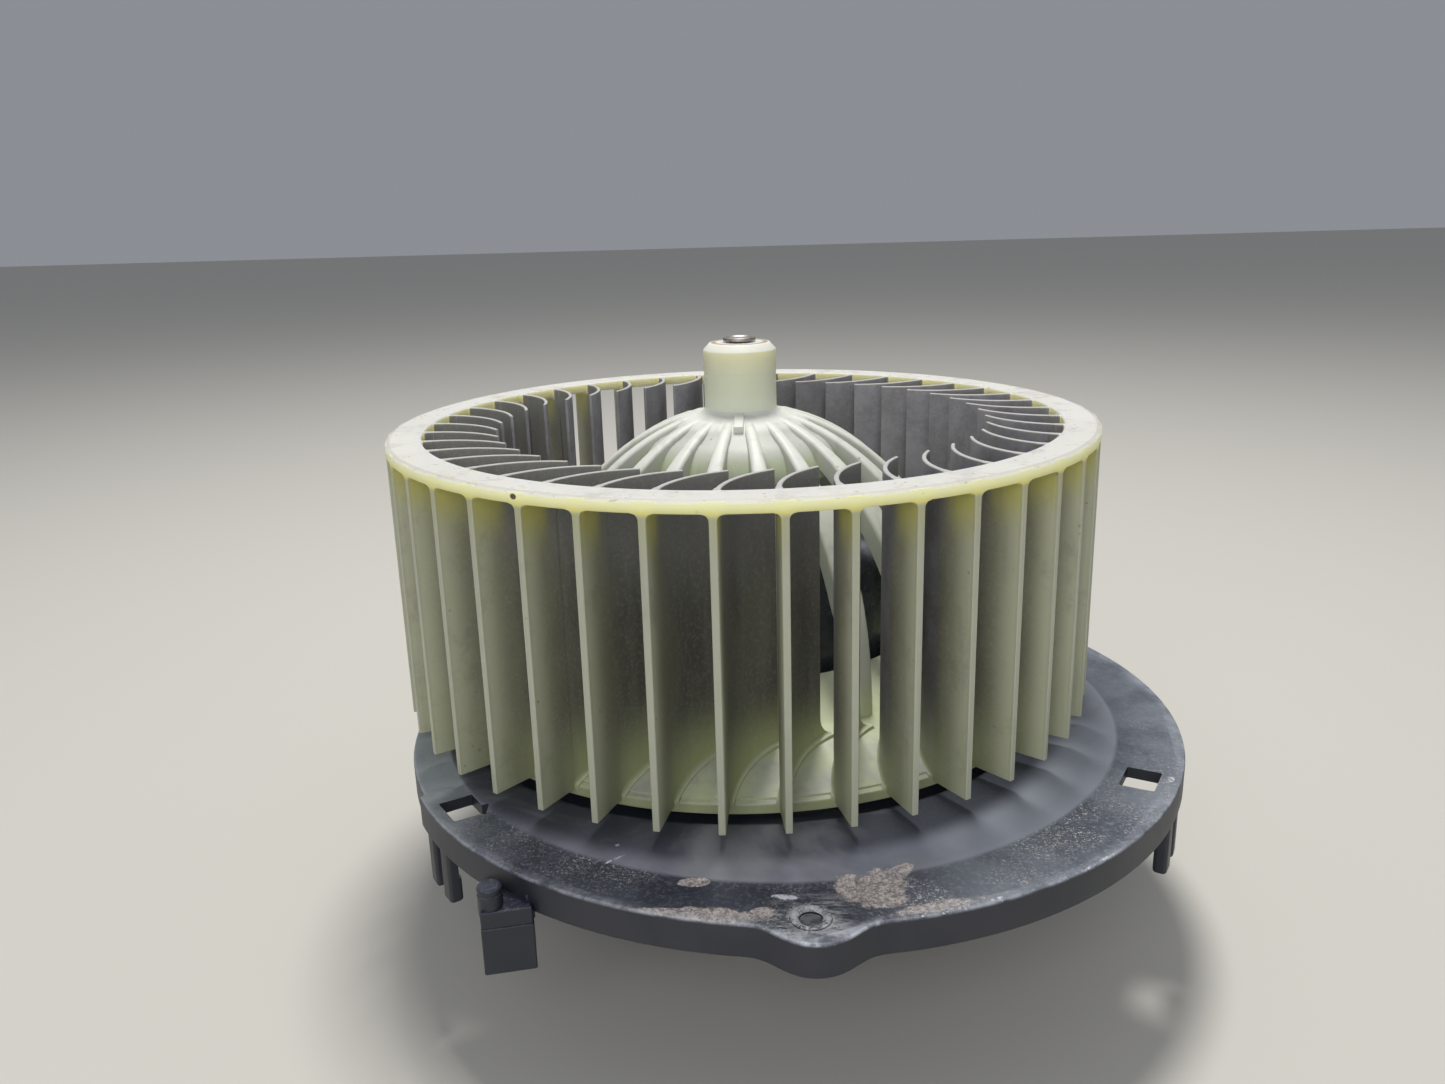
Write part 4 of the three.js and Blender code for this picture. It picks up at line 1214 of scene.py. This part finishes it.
def screw_shape():
    """A pan head with a cross recess, a threaded shank and a plain point."""
    rows = [(0.0, 3.0), (1.7, 3.0), (2.6, 3.25), (3.05, 3.8), (3.15, 4.6), (3.15, 5.4), (1.45, 5.4)]
    z = 6.0
    while z < 16.6:
        rows += [(1.35, z), (1.6, z + 0.25), (1.6, z + 0.35), (1.35, z + 0.6)]
        z += 0.7
    rows += [(1.3, 17.3), (0.5, 18.1), (0.0, 18.3)]
    return lathe(rows, 36, (EAR_REACH, 0.0))


def build_screws():
    recess = [soft_box((EAR_REACH - a, -b, 2.0), (EAR_REACH + a, b, 4.3), 0.1)
              for a, b in ((1.7, 0.4), (0.4, 1.7))]
    for i, angle in enumerate(EAR_ANGLES):
        turn = radians(angle)
        made = built(f"cover_screw_{i + 1}_fine", turned_about(screw_shape(), turn),
                     removed=[turned_about(slot, turn) for slot in recess])
        finished(made, "housing", "plated_steel", f"cover_screw_{i + 1}", sharp=28)


def build_socket():
    low, high = socket_low, socket_high
    near, far = low.y + 5.0, high.y
    shell = soft_box((low.x, near, low.z), (high.x, far, high.z), 0.9, 3)
    wall = 1.3
    hollow = soft_box((low.x + wall, near + 2, low.z + wall), (high.x - wall, far + 3, high.z - wall), 0.5)
    neck = soft_box((-10, low.y, 2.5), (10, near + 1, 7.5), 0.3)
    ramp = soft_box((-2.6, far - 7.5, high.z - 0.6), (2.6, far - 5.0, high.z + 0.9), 0.35)
    rails = [soft_box((x - 0.7, near + 1, high.z - 0.5), (x + 0.7, far - 1, high.z + 0.6), 0.25)
             for x in (-6.5, 6.5)]
    slits = [soft_box((x - 3.45, 20, 4.2), (x + 3.45, 53.3, 5.6), 0.1) for x in (-5.0, 5.0)]
    made = built("power_socket_shell", shell, joined=[neck, ramp, *rails], removed=[hollow, *slits])
    finished(made, "housing", "card_plastic", "power_socket")


def build_terminals():
    for side, x in (("right", 5.0), ("left", -5.0)):
        low, high = box_mm(f"terminal_{side}")
        blank = soft_box(low, high, 0.28, 3)
        hole = rod(0.9, 3.0, 7.0, 24, (x, high.y - 3.2))
        made = built(f"terminal_{side}_blade", blank, removed=[hole])
        finished(made, "housing", "brass_strip", f"terminal_{side}")


def laid(shape, place):
    """A shape about the upright axis laid down along X, from a point."""
    return [(place[0] + z, place[1] + x, place[2] + y) for x, y, z in shape[0]], shape[1]


def coil(length, reach, wire, turns):
    """A coil spring about the upright axis, from 0 up, with closed end turns."""
    steps = turns * 24
    rows = []
    for k in range(steps + 1):
        t = k / steps
        rise = wire + (length - 2 * wire) * smoothstep(0.04, 0.96, t)
        angle = 2 * pi * turns * t
        ring = []
        for i in range(8):
            a = 2 * pi * i / 8
            ring.append(polar(reach + wire * cos(a), angle, rise + wire * sin(a)))
        rows.append(ring)
    return loft(rows)


def build_brushes():
    """Each brush has a worn face for the commutator and a pocket at its back for the spring."""
    low, high = box_mm("brush_right")
    spring_low, spring_high = box_mm("brush_spring_right")
    commutator_high = box_mm("commutator")[1]
    middle = (low.z + high.z) / 2
    wall = 0.35
    pocket_radius = (high.z - low.z) / 2 - wall
    block = soft_box(low, high, 0.25, 2)
    worn = rod(low.x + 0.25, low.z - 1, commutator_high.z, 96)
    pocket = laid(rod(pocket_radius, 0.0, 4.0, 32), (high.x - 2.5, 0.0, middle))
    length = spring_high.x - spring_low.x
    reach = (spring_high.z - spring_low.z) / 2 - 0.25
    spring = laid(coil(length, reach, 0.2, 5), (spring_low.x, 0.0, middle))
    for side, turn in (("right", 0.0), ("left", pi)):
        made = built(f"brush_{side}_block", turned_about(block, turn),
                     removed=[worn, turned_about(pocket, turn)])
        finished(made, f"brush_slider_{side}", "brush_carbon", f"brush_{side}")
        made = built(f"brush_spring_{side}_coil", turned_about(spring, turn))
        finished(made, "housing", "spring_steel", f"brush_spring_{side}")


def dress_cad_nodes():
    """The nodes whose CAD shape is right keep it, and get their materials."""
    slots = {s["node"]: s["material_slot"] for s in frame["record"]["subparts"]}
    for name, node in frame["nodes"].items():
        node.data.materials.clear()
        node.data.materials.append(LOOKS[slots[name]])


# --------------- stage


def area_light(name, place, target, size, power, color=(1.0, 1.0, 1.0)):
    light = bpy.data.lights.new(name, "AREA")
    light.shape = "DISK"
    light.size = size
    light.energy = power
    light.color = color
    lamp = bpy.data.objects.new(name, light)
    lamp.location = place
    lamp.rotation_mode = "QUATERNION"
    lamp.rotation_quaternion = (Vector(target) - Vector(place)).to_track_quat("-Z", "Y")
    scene.collection.objects.link(lamp)


def build_stage():
    mesh = bpy.data.meshes.new("floor")
    half = 4.0
    mesh.from_pydata([(-half, -half, 0), (half, -half, 0), (half, half, 0), (-half, half, 0)], [],
                     [(0, 1, 2, 3)])
    floor = bpy.data.objects.new("floor", mesh)
    look = Look("floor")
    look.set(Base_Color=(0.62, 0.60, 0.55), Roughness=0.85)
    floor.data.materials.append(look.material)
    scene.collection.objects.link(floor)

    world = bpy.data.worlds.new("studio")
    world.use_nodes = True
    sky = world.node_tree.nodes["Background"]
    sky.inputs["Color"].default_value = (0.84, 0.88, 0.96, 1.0)
    sky.inputs["Strength"].default_value = 0.31
    scene.world = world
    target = (0.0, 0.0, 0.07)
    area_light("key", (0.0, 0.215, 0.95), target, 0.24, 7.0, (1.0, 0.985, 0.95))
    area_light("front_fill", (-0.16, -0.98, 0.42), target, 0.9, 4.4)
    area_light("right_fill", (0.80, -0.25, 0.30), target, 0.35, 0.3)
    scene.view_settings.view_transform = "Standard"


def build_camera():
    """The photograph's viewpoint: just above the wheel's ring, close to it."""
    wheel = 0.075  # the wheel's radius
    distance = 3.35567 * wheel
    above_ring = 0.59262 * wheel
    yaw, pitch, roll = (radians(a) for a in (-1.0881, 16.1351, -1.6043))
    camera = bpy.data.cameras.new("camera")
    camera.sensor_width = 36.0
    camera.lens = 29.10
    camera.clip_start = 0.01
    holder = bpy.data.objects.new("camera", camera)
    ahead = Vector((sin(yaw) * cos(pitch), cos(yaw) * cos(pitch), -sin(pitch)))
    level = Vector((cos(yaw), -sin(yaw), 0.0))
    up = level.cross(ahead)
    right = cos(roll) * level + sin(roll) * up
    top = cos(roll) * up - sin(roll) * level
    turn = Matrix((right, top, -ahead)).transposed().to_4x4()
    place = Matrix.Translation((0.0, -distance, RING_TOP * MM + above_ring))
    holder.matrix_world = place @ turn
    scene.collection.objects.link(holder)
    scene.camera = holder


build_camera()
build_stage()
dress_cad_nodes()
build_wheel()
build_shaft_cap()
build_flange()
build_can()
build_cover()
build_screws()
build_socket()
build_terminals()
build_brushes()
